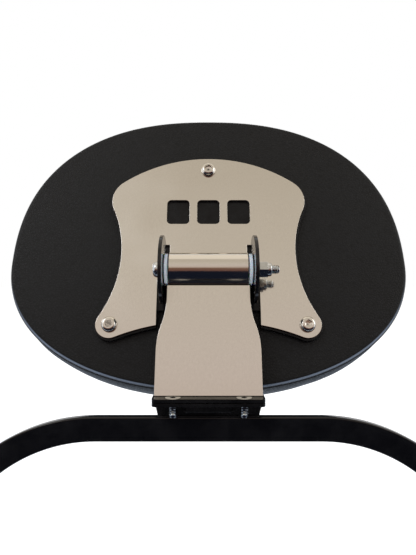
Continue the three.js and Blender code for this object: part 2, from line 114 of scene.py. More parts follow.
# Fasteners, as radii and heights
M6_RADIUS, M6_CLEARANCE, M6_HEAD, M6_HEAD_HEIGHT = 3, 3.3, 5.25, 3.3
M6_SOCKET, M6_SOCKET_DEPTH = 2.3, 2
M5_RADIUS, M5_HEAD, M5_SOCKET, M5_SOCKET_DEPTH, M5_LENGTH = 2.5, 4.6, 1.75, 1.4, 11.5
WASHER_FACE = EAR_INNER + EAR_THICK + GAP
WASHER_RADIUS, WASHER_THICK = 6, 1.2
FASTENER_FACE = WASHER_FACE + WASHER_THICK + GAP
BOLT_END = 46.2
NUT_ACROSS, NUT_HEX, NUT_COLLAR = 10, 5.6, 2.6

# What stands round the object for its metal to mirror
ROOM_LOW, ROOM_HIGH = math.radians(-13), math.radians(118)
ROOM_REACH, ROOM_HALF_WIDTH = 1.5, 2.2
GROUND_SPLIT = -0.075


# ---- sizes and colours -----------------------------------------------------------------------


def linear(code):
    """Turns an sRGB hex colour into linear RGBA."""
    channels = [int(code[i:i + 2], 16) / 255 for i in (0, 2, 4)]
    return (*(c / 12.92 if c <= 0.04045 else ((c + 0.055) / 1.055) ** 2.4 for c in channels), 1.0)


def colour(name, description, code):
    return FloatVectorProperty(
        name=name, description=description, default=linear(code),
        size=4, min=0, max=1, subtype="COLOR",
    )


def length(name, description, millimetres):
    return FloatProperty(
        name=name, description=description, default=millimetres * MM,
        min=0, precision=5, subtype="DISTANCE", unit="LENGTH",
    )


class BackrestSizes(bpy.types.PropertyGroup):
    plate_edge: length("Plate Edge", "Rounding of the cut edges of the steel plates", 0.22)
    bar_edge: length("Bar Edge", "Rounding of the rolled flat bar", 1.1)
    weld: length("Weld", "Radius of the weld beads", 1.5)
    skin_roll: length("Edge Roll", "Radius of the leatherette turned over the back panel", 2.6)
    swell: length("Cushion Swell", "Farthest that stuffing pushes the cushion out", 3.5)
    voxel: length("Cloth Spacing", "Spacing of the cloth points while the cushion is stuffed", 5.0)
    stitch: length("Stitch", "From one stitch to the next", 4.6)
    thread: length("Thread", "Thickness of the sewing thread", 1.0)
    pressure: FloatProperty(
        name="Stuffing", description="Pressure inside the cushion while it is stuffed",
        default=4.0, min=0,
    )
    frames: IntProperty(
        name="Settling Frames", description="Frames the stuffed cushion is given to settle",
        default=20, min=2, max=60,
    )


class BackrestColours(bpy.types.PropertyGroup):
    steel: colour("Polished Steel", "Stainless steel of the plates, arm and barrel", "E4E1DC")
    paint: colour("Black Coat", "Satin black powder coat of the plates, bracket and hoop", "08080A")
    zinc: colour("Zinc", "Bright zinc plate of the fasteners", "D4D8DC")
    nylon: colour("Nylon", "Natural nylon of the bushes and the nut's insert", "D5DEE8")
    leatherette: colour("Leatherette", "Black leatherette of the pad", "0C0E12")
    thread: colour("Thread", "Black polyester sewing thread", "111114")
    plywood: colour("Plywood", "Birch plywood of the board inside", "C8A676")
    floor: colour("Floor", "Plain pale floor", "F4F4F4")


# ---- modelling helpers -----------------------------------------------------------------------


class Pen:
    """Draws a flat outline by running and spinning one vertex through the plane of u and v."""

    def __init__(self, bm, u, v, a, b):
        self.bm, self.u, self.v = bm, u, v
        self.tip = bm.verts.new(u * a + v * b)

    def line(self, a, b):
        made = bmesh.ops.extrude_vert_indiv(self.bm, verts=[self.tip])
        self.tip = made["verts"][0]
        self.tip.co = self.u * a + self.v * b
        return self

    def arc(self, centre, turn, steps):
        made = bmesh.ops.spin(
            self.bm, geom=[self.tip], cent=self.u * centre[0] + self.v * centre[1],
            axis=self.u.cross(self.v), angle=turn, steps=steps, use_merge=False,
        )
        self.tip = verts_in(made["geom_last"])[0]
        return self


def verts_in(geom):
    return [g for g in geom if isinstance(g, bmesh.types.BMVert)]


def edges_between(bm, verts):
    return [e for e in bm.edges if e.verts[0] in verts and e.verts[1] in verts]


def everything(bm):
    return bm.verts[:] + bm.edges[:] + bm.faces[:]


def face_outwards(bm):
    bmesh.ops.recalc_face_normals(bm, faces=bm.faces[:])


def weld_points(bm):
    bmesh.ops.remove_doubles(bm, verts=bm.verts[:], dist=1e-3)


def rounded_rectangle(bm, u, v, left, bottom, width, height, corner):
    right, top, quarter = left + width, bottom + height, math.pi / 2
    pen = Pen(bm, u, v, right, bottom + corner)
    pen.line(right, top - corner).arc((right - corner, top - corner), quarter, 6)
    pen.line(left + corner, top).arc((left + corner, top - corner), quarter, 6)
    pen.line(left, bottom + corner).arc((left + corner, bottom + corner), quarter, 6)
    pen.line(right - corner, bottom).arc((right - corner, bottom + corner), quarter, 6)
    weld_points(bm)


def fill(bm):
    """Closes one outline with one flat face."""
    bmesh.ops.contextual_create(bm, geom=bm.edges[:])


def fill_round_holes(bm, point, normal):
    """Closes an outline with holes along a line, as one flat face on each side of that line."""
    bmesh.ops.triangle_fill(bm, edges=bm.edges[:], use_beauty=True)
    bmesh.ops.bisect_plane(
        bm, geom=everything(bm), plane_co=point, plane_no=normal, dist=1e-4,
    )
    for side in (-1, 1):
        half = [f for f in bm.faces if side * (f.calc_center_median() - point).dot(normal) > 0]
        bmesh.ops.dissolve_faces(bm, faces=half, use_verts=False)


def mirror_outline(bm):
    bmesh.ops.mirror(bm, geom=bm.verts[:] + bm.edges[:], axis="X", merge_dist=1e-3)


def thicken(bm, axis, low, thick):
    """Turns the flat faces of the mesh into plates that stand from low to low + thick."""
    made = bmesh.ops.extrude_face_region(bm, geom=bm.faces[:])
    bmesh.ops.translate(bm, verts=verts_in(made["geom"]), vec=axis * thick)
    face_outwards(bm)
    bmesh.ops.translate(bm, verts=bm.verts[:], vec=axis * low)


def round_edges(bm, offset, segments=3):
    sharp = [e for e in bm.edges if e.is_manifold and e.calc_face_angle() > 0.6]
    bmesh.ops.bevel(
        bm, geom=sharp, offset=offset, offset_type="OFFSET", segments=segments,
        profile=0.5, affect="EDGES", material=-1, clamp_overlap=True,
    )


def turn(bm, axis, profile, segments=48):
    """Spins (along, radius) pairs round an axis into a closed or open round solid."""
    out = Z if axis != Z else X
    verts = [bm.verts.new(axis * along + out * radius) for along, radius in profile]
    edges = [bm.edges.new(pair) for pair in zip(verts, verts[1:])]
    bmesh.ops.spin(
        bm, geom=verts + edges, cent=(0, 0, 0), axis=axis, angle=2 * math.pi,
        steps=segments, use_merge=True,
    )
    weld_points(bm)
    face_outwards(bm)


def ring(bm, axis, low, high, inner, outer, segments):
    """A plain round tube along the axis."""
    corners = [(low, inner), (low, outer), (high, outer), (high, inner), (low, inner)]
    turn(bm, axis, corners, segments)


def quarter_round(start, radius_at_start, rise, drop, steps=6):
    """(along, radius) pairs of a dome that starts flat at its top and ends at its rim."""
    angles = [i * math.pi / 2 / steps for i in range(steps + 1)]
    return [
        (start + rise * (1 - math.cos(angle)), radius_at_start + drop * math.sin(angle))
        for angle in angles
    ]


def helix(bm, axis, start, end, crest, depth, pitch, per_turn=20):
    """A screw thread: a small tooth spun along the axis."""
    out = Z if axis != Z else X
    half = 0.45 * pitch
    tooth = [(start - half, crest - depth), (start, crest), (start + half, crest - depth)]
    verts = [bm.verts.new(axis * along + out * radius) for along, radius in tooth]
    edges = [bm.edges.new(pair) for pair in zip(verts, verts[1:] + verts[:1])]
    tooth_face = bm.faces.new(verts)
    turns = (end - start) / pitch
    steps = max(3, round(turns * per_turn))
    bmesh.ops.spin(
        bm, geom=verts + edges + [tooth_face], cent=(0, 0, 0), axis=axis,
        dvec=axis * (end - start) / steps, angle=2 * math.pi * turns, steps=steps, use_merge=False,
    )
    face_outwards(bm)


def bead(bm, start, end, radius, ripple=2.2):
    """A weld bead between two points, its ripples left by each pause of the torch."""
    run = end - start
    steps = max(4, round(run.length / (ripple / 4)))
    lay = Matrix.Translation(start) @ Z.rotation_difference(run).to_matrix().to_4x4()
    made = bmesh.ops.create_circle(bm, cap_ends=True, radius=radius * 0.6, segments=10, matrix=lay)
    tip = made["verts"]
    middle = start.copy()
    for i in range(1, steps + 1):
        made = bmesh.ops.extrude_edge_only(bm, edges=edges_between(bm, tip))
        tip = verts_in(made["geom"])
        bmesh.ops.translate(bm, verts=tip, vec=run / steps)
        middle += run / steps
        swell = 0.9 + 0.1 * math.sin(i * math.pi / 2) if i < steps else 0.6
        for vert in tip:
            away = vert.co - middle
            vert.co = middle + away.normalized() * radius * swell
    bmesh.ops.contextual_create(bm, geom=edges_between(bm, tip))


def piece(bm, name, body, slot, nodes=(), finish=None, lay=Matrix(), sharp=0.7, weighted=True):
    """Puts a finished bmesh in its place, as a piece that rides on a CAD body. Its finish is its
    slot's, unless another is named."""
    bm.transform(PLACES[body] @ lay)
    for face in bm.faces:
        face.smooth = True
    for edge in bm.edges:
        edge.smooth = not (edge.is_manifold and edge.calc_face_angle() > sharp)
    mesh = bpy.data.meshes.new(name)
    bm.to_mesh(mesh)
    bm.free()
    mesh.materials.append(finished(finish or slot))
    obj = bpy.data.objects.new(name, mesh)
    bpy.context.scene.collection.objects.link(obj)
    if weighted:
        obj.modifiers.new("Flat faces stay flat", "WEIGHTED_NORMAL").keep_sharp = True
    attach(obj, body)
    if nodes:
        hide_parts(*nodes)
    return obj


NEVER = 2 * math.pi
SOFT = {"sharp": NEVER, "weighted": False}


# ---- materials -------------------------------------------------------------------------------


def add_node(tree, kind, settings=None, values=None, stops=()):
    """Adds a node with its settings and colour stops. Each named input is set, or is linked to a
    socket or to the first output of another node."""
    node = tree.nodes.new("ShaderNode" + kind)
    for key, value in (settings or {}).items():
        setattr(node, key, value)
    for key, value in (values or {}).items():
        if isinstance(value, bpy.types.Node):
            value = next(s for s in value.outputs if not s.is_unavailable)
        if isinstance(value, bpy.types.NodeSocket):
            tree.links.new(value, node.inputs[key])
        else:
            node.inputs[key].default_value = value
    if stops:
        elements = node.color_ramp.elements
        while len(elements) < len(stops):
            elements.new(0.5)
        for element, (position, value) in zip(elements, stops):
            element.position = position
            element.color = value
    return node


def grey(value):
    return (value, value, value, 1)


BLEND = {"data_type": "RGBA"}
MULTIPLY = {"data_type": "RGBA", "blend_type": "MULTIPLY"}


def polished_stainless(tree, colours):
    """Laser-cut stainless sheet, buffed to a mirror. Hardly any diffuse light comes off it, so it
    shows the room, slightly clouded by buffing haze and by hair-fine scratches."""
    where = add_node(tree, "TexCoord").outputs["Object"]
    # Buffing runs up and down the plate: 0.25 mm across, 40 mm along. Drawn coarser than real.
    lay = add_node(tree, "Mapping", {}, {"Vector": where, "Scale": (1, 1, 0.012)})
    hair = add_node(tree, "TexNoise", {}, {
        "Vector": lay, "Scale": 1800, "Detail": 3, "Roughness": 0.6,
    })
    # Haze in clouds of about 35 mm
    cloud = add_node(tree, "TexNoise", {}, {
        "Vector": where, "Scale": 28, "Detail": 2, "Roughness": 0.5,
    })
    # Sheet is never quite flat: waves of 90 mm bend the reflection
    wave = add_node(tree, "TexNoise", {}, {"Vector": where, "Scale": 11, "Detail": 1})
    streaks = add_node(tree, "ValToRGB", {}, {"Fac": hair}, [(0.25, grey(0.86)), (0.7, grey(1))])
    base = tuple(colours.steel)
    shade = add_node(tree, "Mix", MULTIPLY, {"Factor": 0.5, "A": base, "B": streaks})
    haze = add_node(tree, "ValToRGB", {}, {"Fac": cloud}, [(0.3, grey(0.1)), (0.75, grey(0.2))])
    bend = add_node(tree, "Bump", {}, {"Height": wave, "Strength": 0.5, "Distance": 0.0012})
    scratch = add_node(tree, "Bump", {}, {
        "Height": hair, "Strength": 0.05, "Distance": 0.00005, "Normal": bend,
    })
    return add_node(tree, "BsdfPrincipled", {}, {
        "Base Color": shade, "Metallic": 1.0, "Roughness": haze, "Normal": scratch,
    })


def satin_powder_coat(tree, colours, level=0.3, smoothest=0.18, roughest=0.32):
    """Black polyester powder coat, baked. It flows out to a satin skin with a slight orange peel,
    a little greyer where it has been handled."""
    where = add_node(tree, "TexCoord").outputs["Object"]
    # Orange peel with cells of 0.9 mm
    peel = add_node(tree, "TexNoise", {}, {
        "Vector": where, "Scale": 1100, "Detail": 2, "Roughness": 0.45,
    })
    smear = add_node(tree, "TexNoise", {}, {
        "Vector": where, "Scale": 60, "Detail": 5, "Roughness": 0.65,
    })
    dust = add_node(tree, "ValToRGB", {}, {"Fac": smear}, [(0.42, grey(0)), (0.8, grey(1))])
    shade = add_node(tree, "Mix", BLEND, {
        "Factor": dust, "A": tuple(colours.paint), "B": linear("131315"),
    })
    rough = add_node(tree, "ValToRGB", {}, {"Fac": smear}, [
        (0.3, grey(smoothest)), (0.7, grey(roughest)),
    ])
    bump = add_node(tree, "Bump", {}, {"Height": peel, "Strength": 0.22, "Distance": 0.00008})
    return add_node(tree, "BsdfPrincipled", {}, {
        "Base Color": shade, "Roughness": rough, "IOR": 1.4, "Specular IOR Level": level,
        "Normal": bump,
    })


def glossy_powder_coat(tree, colours):
    """The same coat where it lies thicker and has flowed out to a gloss."""
    return satin_powder_coat(tree, colours, 0.6, 0.06, 0.16)


def bright_zinc(tree, colours):
    """Bright zinc plate on steel. Bluish and slightly milky, with duller patches where it has been
    handled."""
    where = add_node(tree, "TexCoord").outputs["Object"]
    # Milky patches of 3 mm, plating grain of 0.3 mm
    patch = add_node(tree, "TexNoise", {}, {"Vector": where, "Scale": 330, "Detail": 4})
    grain = add_node(tree, "TexNoise", {}, {"Vector": where, "Scale": 3300, "Detail": 2})
    milk = add_node(tree, "ValToRGB", {}, {"Fac": patch}, [
        (0.3, linear("B9AE9C")), (0.6, grey(1)),
    ])
    shade = add_node(tree, "Mix", MULTIPLY, {"Factor": 0.2, "A": tuple(colours.zinc), "B": milk})
    rough = add_node(tree, "ValToRGB", {}, {"Fac": patch}, [(0.3, grey(0.24)), (0.7, grey(0.12))])
    bump = add_node(tree, "Bump", {}, {"Height": grain, "Strength": 0.12, "Distance": 0.00004})
    return add_node(tree, "BsdfPrincipled", {}, {
        "Base Color": shade, "Metallic": 1.0, "Roughness": rough, "Normal": bump,
    })


def natural_nylon(tree, colours):
    """Machined nylon 6. Milky and faintly see-through, so light creeps under its surface, with the
    fine rings the lathe leaves."""
    where = add_node(tree, "TexCoord").outputs["Object"]
    cloud = add_node(tree, "TexNoise", {}, {"Vector": where, "Scale": 250, "Detail": 3})
    # Tool marks 0.25 mm apart along the bolt
    rings = add_node(tree, "TexWave", {"bands_direction": "X"}, {
        "Vector": where, "Scale": 640, "Distortion": 0.6,
    })
    milk = add_node(tree, "ValToRGB", {}, {"Fac": cloud}, [
        (0.3, linear("C9CED2")), (0.7, grey(1)),
    ])
    shade = add_node(tree, "Mix", MULTIPLY, {"Factor": 0.5, "A": tuple(colours.nylon), "B": milk})
    bump = add_node(tree, "Bump", {}, {
        "Height": rings.outputs["Fac"], "Strength": 0.15, "Distance": 0.00004,
    })
    return add_node(tree, "BsdfPrincipled", {}, {
        "Base Color": shade, "Roughness": 0.38, "IOR": 1.53,
        "Subsurface Weight": 0.25, "Subsurface Scale": 0.002, "Normal": bump,
    })


def black_leatherette(tree, colours):
    """PVC-coated cloth with an embossed grain. The coating is matt in the grain's valleys and a
    little shiny on its tops, under a thin lacquer that brightens where the face turns away."""
    where = add_node(tree, "TexCoord").outputs["Object"]
    # Pebbles of the emboss, 0.9 mm across and drawn at 1.6 mm to show, with pores of 0.25 mm and
    # slow creasing of 25 mm
    drift = add_node(tree, "TexNoise", {}, {"Vector": where, "Scale": 400, "Detail": 2})
    warped = add_node(tree, "Mix", {"data_type": "VECTOR"}, {
        "Factor": 0.0012, "A": where, "B": drift.outputs["Color"],
    })
    pebbles = add_node(tree, "TexVoronoi", {"feature": "DISTANCE_TO_EDGE"}, {
        "Vector": warped, "Scale": 620,
    })
    pores = add_node(tree, "TexNoise", {}, {"Vector": where, "Scale": 3800, "Detail": 2})
    crease = add_node(tree, "TexNoise", {}, {
        "Vector": where, "Scale": 42, "Detail": 3, "Roughness": 0.55,
    })
    tops = add_node(tree, "ValToRGB", {}, {"Fac": pebbles.outputs["Distance"]}, [
        (0.0, grey(0)), (0.22, grey(1)),
    ])
    shade = add_node(tree, "Mix", BLEND, {
        "Factor": tops, "A": linear("07080A"), "B": tuple(colours.leatherette),
    })
    folds = add_node(tree, "ValToRGB", {}, {"Fac": crease}, [(0.3, grey(0.7)), (0.7, grey(1))])
    mottled = add_node(tree, "Mix", MULTIPLY, {"Factor": 0.5, "A": shade, "B": folds})
    # Painted highlight: the base colour turns blue-grey along the rolled edge, most towards the
    # bottom, where the roll catches a light sheen
    stretch = add_node(tree, "Attribute", {"attribute_name": "stretch"})
    roll_highlighted = add_node(tree, "Mix", BLEND, {
        "Factor": stretch.outputs["Fac"], "A": mottled, "B": linear("5E6878"),
    })
    rough = add_node(tree, "ValToRGB", {}, {"Fac": tops}, [(0.0, grey(0.66)), (1.0, grey(0.4))])
    slow = add_node(tree, "Bump", {}, {"Height": crease, "Strength": 0.6, "Distance": 0.001})
    fine = add_node(tree, "Bump", {}, {
        "Height": pores, "Strength": 0.2, "Distance": 0.00006, "Normal": slow,
    })
    emboss = add_node(tree, "Bump", {}, {
        "Height": tops, "Strength": 0.6, "Distance": 0.00022, "Normal": fine,
    })
    return add_node(tree, "BsdfPrincipled", {}, {
        "Base Color": roll_highlighted, "Roughness": rough, "IOR": 1.5, "Specular IOR Level": 0.2,
        "Coat Weight": 0.07, "Coat Roughness": 0.25, "Sheen Weight": 0.12,
        "Sheen Roughness": 0.3, "Sheen Tint": linear("C4D4EC"), "Normal": emboss,
    })


def polyester_thread(tree, colours):
    """Three-ply bonded polyester. Round and slightly waxy, with the lay of its plies."""
    where = add_node(tree, "TexCoord").outputs["Object"]
    # Plies 0.5 mm apart
    lay = add_node(tree, "TexWave", {"bands_direction": "DIAGONAL"}, {
        "Vector": where, "Scale": 320, "Distortion": 1.5,
    }).outputs["Fac"]
    shade = add_node(tree, "Mix", BLEND, {
        "Factor": lay, "A": linear("060607"), "B": tuple(colours.thread),
    })
    bump = add_node(tree, "Bump", {}, {"Height": lay, "Strength": 0.5, "Distance": 0.0001})
    return add_node(tree, "BsdfPrincipled", {}, {
        "Base Color": shade, "Roughness": 0.5, "Normal": bump,
    })


def birch_plywood(tree, colours):
    """Birch plywood: pale, with long darker fibres in its faces."""
    where = add_node(tree, "TexCoord").outputs["Object"]
    grain = add_node(tree, "Mapping", {}, {"Vector": where, "Scale": (1, 1, 0.08)})
    fibre = add_node(tree, "TexNoise", {}, {"Vector": grain, "Scale": 900, "Detail": 4})
    shade = add_node(tree, "Mix", BLEND, {
        "Factor": fibre, "A": tuple(colours.plywood), "B": linear("8F6B3C"),
    })
    bump = add_node(tree, "Bump", {}, {"Height": fibre, "Strength": 0.3, "Distance": 0.0001})
    return add_node(tree, "BsdfPrincipled", {}, {
        "Base Color": shade, "Roughness": 0.7, "Normal": bump,
    })


def pale_floor(tree, colours):
    """Matt painted floor, a little uneven in its sheen."""
    where = add_node(tree, "TexCoord").outputs["Object"]
    cloud = add_node(tree, "TexNoise", {}, {"Vector": where, "Scale": 6, "Detail": 2})
    rough = add_node(tree, "ValToRGB", {}, {"Fac": cloud}, [(0.3, grey(0.7)), (0.7, grey(0.8))])
    return add_node(tree, "BsdfPrincipled", {}, {
        "Base Color": tuple(colours.floor), "Roughness": rough,
        "Emission Color": grey(1), "Emission Strength": 0.15,
    })


def mirrored_room(tree, colours):
    """What the polished steel mirrors, coloured by its angle above the hinge: from the dark
    skirting behind the viewer up to the bright ceiling."""
    where = add_node(tree, "TexCoord").outputs["Object"]
    apart = add_node(tree, "VectorMath", {"operation": "SUBTRACT"}, {0: where, 1: tuple(HINGE)})
    split = add_node(tree, "SeparateXYZ", {}, {"Vector": apart})
    back = add_node(tree, "Math", {"operation": "MULTIPLY"}, {0: split.outputs["Y"], 1: -1.0})
    height = add_node(tree, "Math", {"operation": "ARCTAN2"}, {0: split.outputs["Z"], 1: back})
    share = add_node(tree, "MapRange", {}, {
        "Value": height, "From Min": ROOM_LOW, "From Max": ROOM_HIGH,
    })
    bands = [(-13, "6B4A42"), (10, "80604F"), (14, "C9B8A8"), (26, "D6C8BE"), (40, "D2C7B8"),
             (58, "C8BDAC"), (72, "C8BDAC"), (77, "F6EAD8"), (118, "F6EAD8")]
    bands = [
        ((math.radians(angle) - ROOM_LOW) / (ROOM_HIGH - ROOM_LOW), linear(code))
        for angle, code in bands
    ]
    tones = add_node(tree, "ValToRGB", {}, {"Fac": share}, bands)
    return add_node(tree, "Emission", {}, {"Color": tones, "Strength": 1.0})


def card(code):
    """A plain card of one colour, for the metal to mirror."""
    return lambda tree, colours: add_node(tree, "Emission", {}, {
        "Color": linear(code), "Strength": 1.0,
    })


FINISHES = {
    "polished_steel": ("polished stainless steel", polished_stainless),
    "black_paint": ("satin black powder coat", satin_powder_coat),
    "glossy_paint": ("glossy black powder coat", glossy_powder_coat),
    "zinc": ("bright zinc plated steel", bright_zinc),
    "nylon": ("turned natural nylon", natural_nylon),
    "leatherette": ("black leatherette", black_leatherette),
    "thread": ("black bonded thread", polyester_thread),
    "plywood": ("birch plywood", birch_plywood),
    "floor": ("pale studio floor", pale_floor),
    "room": ("mirrored room", mirrored_room),
    "carpet": ("mirrored carpet", card("161A26")),
    "shade": ("mirrored shade", card("CCD8E8")),
}


def finished(finish):
    """The material of one finish, built the first time it is asked for."""
    name, build = FINISHES[finish]
    material = bpy.data.materials.get(name)
    if material is None:
        material = bpy.data.materials.new(name)
        material.use_nodes = True
        tree = material.node_tree
        tree.nodes.clear()
        shader = build(tree, bpy.context.scene.backrest_colours)
        add_node(tree, "OutputMaterial", {}, {"Surface": shader})
    return material


# ---- outlines --------------------------------------------------------------------------------


def squared_oval(angle, inset):
    """A point of the pad's outline, drawn in by inset."""
    above = math.sin(angle) >= 0
    power = 2 / (SQUARE_TOP if above else SQUARE_BOTTOM)
    tall = (PAD_RISE if above else PAD_DROP) - inset
    return (
        (PAD_HALF_WIDTH - inset) * math.copysign(abs(math.cos(angle)) ** power, math.cos(angle)),
        PAD_WIDEST_AT + tall * math.copysign(abs(math.sin(angle)) ** power, math.sin(angle)),
    )


def walk_oval(inset, spacing):
    """Points of the pad's outline, evenly spaced along it."""
    fine = [Vector(squared_oval(2 * math.pi * i / 2880, inset)) for i in range(2881)]
    total = sum((b - a).length for a, b in zip(fine, fine[1:]))
    count = round(total / spacing)
    points, travelled, target = [], 0.0, 0.0
    for a, b in zip(fine, fine[1:]):
        step = (b - a).length
        while len(points) < count and travelled + step >= target:
            points.append(a.lerp(b, (target - travelled) / step))
            target += total / count
        travelled += step
    return points


def circles_meet(a, radius_a, b, radius_b, side):
    apart = b - a
    along = (radius_a ** 2 - radius_b ** 2 + apart.length ** 2) / (2 * apart.length)
    across = side * math.sqrt(radius_a ** 2 - along ** 2)
    unit = apart.normalized()
    return a + unit * along + Vector((-unit.y, unit.x)) * across


def bearing(a, b):
    return math.atan2(b.y - a.y, b.x - a.x)


def half_plate(bm, grow):
    """The right half of the steel plates' outline: arch, shoulder, waist, lobe and hollow foot."""
    arch_radius, shoulder_radius, lobe_radius, foot_radius = 105, 18, 9.3, 140
    arch, waist = Vector((0, PLATE_ARCH - arch_radius)), Vector((145.6, 17))
    lobe, notch = Vector((65, -32.7)), Vector((SLOT_OUTER, -33.4))
    waist_radius = (waist - lobe).length - lobe_radius
    shoulder = circles_meet(
        arch, arch_radius - shoulder_radius, waist, waist_radius + shoulder_radius, 1,
    )
    foot = circles_meet(notch, foot_radius, lobe, foot_radius + lobe_radius, -1)
    arch_end, waist_start = bearing(arch, shoulder), bearing(waist, shoulder)
    pen = Pen(bm, X, Z, 0, PLATE_ARCH + grow)
    pen.arc(arch, arch_end - math.pi / 2, 28)
    pen.arc(shoulder, waist_start - math.pi - arch_end, 16)
    pen.arc(waist, bearing(waist, lobe) + 2 * math.pi - waist_start, 28)
    pen.arc(lobe, bearing(lobe, foot) - bearing(lobe, waist), 26)
    pen.arc(foot, bearing(foot, notch) - bearing(foot, lobe), 8)
    return pen


# ---- the pad ---------------------------------------------------------------------------------


def rings_of_oval(rings, segments):
    """A closed body of rings that follow the pad's outline, each an (inset, y) pair."""
    bm = bmesh.new()
    made = bmesh.ops.create_circle(bm, cap_ends=True, radius=1, segments=segments)
    around = made["verts"]
    angles = {v: 2 * math.pi * i / segments for i, v in enumerate(around)}
    for vert in around:
        x, z = squared_oval(angles[vert], rings[0][0])
        vert.co = (x, rings[0][1], z)
    for inset, y in rings[1:]:
        made = bmesh.ops.extrude_edge_only(bm, edges=edges_between(bm, angles))
        fresh = {}
        for vert in verts_in(made["geom"]):
            near = [e.other_vert(vert) for e in vert.link_edges]
            fresh[vert] = next(angles[v] for v in near if v in angles)
        for vert, angle in fresh.items():
            x, z = squared_oval(angle, inset)
            vert.co = (x, y, z)
        angles = fresh
    bmesh.ops.contextual_create(bm, geom=edges_between(bm, angles))
    face_outwards(bm)
    return bm


def stuffed(bm, sizes):
    """Stuffs the sewn cover: remeshes it, blows it up as cloth with its back edge held, and lets
    every point move outwards only, as far as the swell."""
    scene = bpy.context.scene
    bm.transform(Matrix.Scale(MM, 4))
    mesh = bpy.data.meshes.new("cushion_form")
    bm.to_mesh(mesh)
    bm.free()
    obj = bpy.data.objects.new("cushion_form", mesh)
    scene.collection.objects.link(obj)
    remesh = obj.modifiers.new("Even points", "REMESH")
    remesh.mode, remesh.voxel_size = "VOXEL", sizes.voxel
    evened = bpy.data.meshes.new_from_object(
        obj.evaluated_get(bpy.context.evaluated_depsgraph_get())
    )
    obj.modifiers.clear()
    obj.data = evened
    rest = [v.co.copy() for v in evened.vertices]
    held_to = (SEAM_AT + 3) * MM
    held = obj.vertex_groups.new(name="held")
    held.add([i for i, co in enumerate(rest) if co.y < held_to], 1.0, "REPLACE")
    cloth = obj.modifiers.new("Stuffing", "CLOTH")
    cloth.settings.use_pressure = True
    cloth.settings.uniform_pressure_force = sizes.pressure
    cloth.settings.effector_weights.gravity = 0
    cloth.settings.vertex_group_mass = "held"
    cloth.point_cache.frame_start, cloth.point_cache.frame_end = 1, sizes.frames
    for number in range(1, sizes.frames + 1):
        scene.frame_set(number)
    settled = obj.evaluated_get(bpy.context.evaluated_depsgraph_get()).data
    blown = [v.co.copy() for v in settled.vertices]
    obj.modifiers.clear()
    scene.frame_set(1)
    out = [v.normal.copy() for v in evened.vertices]
    for vert, start, end, normal in zip(evened.vertices, rest, blown, out):
        outward = (end - start).dot(normal)
        vert.co = start + normal * min(max(outward, 0), sizes.swell)
    made = bmesh.new()
    made.from_mesh(evened)
    bpy.data.objects.remove(obj)
    loose = [v for v in made.verts if v.co.y > held_to]
    for _ in range(4):
        bmesh.ops.smooth_vert(
            made, verts=loose, factor=0.5, use_axis_x=True, use_axis_y=True, use_axis_z=True,
        )
    made.transform(Matrix.Scale(1 / MM, 4))
    return made


def stitches(bm, points, normal_of, width, long):
    """Short capsules of thread laid end to end along the points of a closed seam."""
    for before, point, after in zip(points[-1:] + points[:-1], points, points[1:] + points[:1]):
        along = (after - before).normalized()
        up = normal_of(point)
        side = along.cross(up).normalized()
        lay = Matrix.Translation(point) @ Matrix((along, side, up)).transposed().to_4x4()
        lay @= Matrix.Diagonal((long / 2, width / 2, width / 2, 1))
        bmesh.ops.create_uvsphere(bm, u_segments=6, v_segments=5, radius=1, matrix=lay)


def closed_cord(points, radius):
    """A thin round cord along a closed line, as a mesh: the front welt, and the black cord of
    painted shade in the back seam.
    """
    curve = bpy.data.curves.new("seam_cord", "CURVE")
    curve.dimensions = "3D"
    curve.bevel_depth, curve.bevel_resolution = radius, 2
    spline = curve.splines.new("POLY")
    spline.points.add(len(points) - 1)
    for target, point in zip(spline.points, points):
        target.co = (*point, 1)
    spline.use_cyclic_u = True
    obj = bpy.data.objects.new("seam_cord", curve)
    bpy.context.scene.collection.objects.link(obj)
    mesh = bpy.data.meshes.new_from_object(
        obj.evaluated_get(bpy.context.evaluated_depsgraph_get())
    )
    bpy.data.objects.remove(obj)
    bm = bmesh.new()
    bm.from_mesh(mesh)
    return bm


class BACKREST_OT_cushion(bpy.types.Operator):
    """Stuffed side and front of the pad, with the welted and stitched seam round the front"""

    bl_idname = "backrest.cushion"
    bl_label = "Cushion"

    def execute(self, context):
        sizes = context.scene.backrest_sizes
        rings = [(3.0, SEAM_AT - 1.2), (2.4, SEAM_AT), (0.2, SEAM_AT + 3), (-1.6, SEAM_AT + 8),
                 (-2.2, SEAM_AT + 16), (-1.6, SIDE_FRONT - 8), (0, SIDE_FRONT - 2)]
        rings += [
            (PAD_ROUND * (1 - math.cos(i * math.pi / 12)),
             SIDE_FRONT - 2 + (PAD_ROUND - 2) * math.sin(i * math.pi / 12))
            for i in range(1, 7)
        ]
        rings += [
            (PAD_ROUND + 2 + share * 0.9 * PAD_DROP,
             FRONT - 4 + PAD_CROWN * math.sin(share * math.pi / 2))
            for share in (0.12, 0.3, 0.5, 0.7, 0.85)
        ]
        bm = stuffed(rings_of_oval(rings, 120), sizes)
        surface = BVHTree.FromBMesh(bm)
        cushion = piece(bm, "cushion", "pad", "leatherette", ["pad_cover", "pad_foam"], **SOFT)
        smooth = cushion.modifiers.new("Smooth", "SUBSURF")
        smooth.levels = smooth.render_levels = 1

        seam = [
            surface.find_nearest(Vector((x, SIDE_FRONT + 8, z)))[0] for x, z in walk_oval(7.5, 3)
        ]
        piece(closed_cord(seam, 0.9), "front_welt", "pad", "leatherette", **SOFT)
        bm = bmesh.new()
        thread, pitch = sizes.thread / MM, sizes.stitch / MM
        for inset, y in ((11.5, FRONT), (4.5, SIDE_FRONT + 3)):
            lifted, normals = [], {}
            for x, z in walk_oval(inset, pitch):
                spot, normal = surface.find_nearest(Vector((x, y, z)))[:2]
                lifted.append(spot + normal * 0.1)
                normals[tuple(lifted[-1])] = normal
            stitches(bm, lifted, lambda p: normals[tuple(p)], thread, pitch * 0.72)
        piece(bm, "front_stitching", "pad", "leatherette", finish="thread", **SOFT)
        return {"FINISHED"}


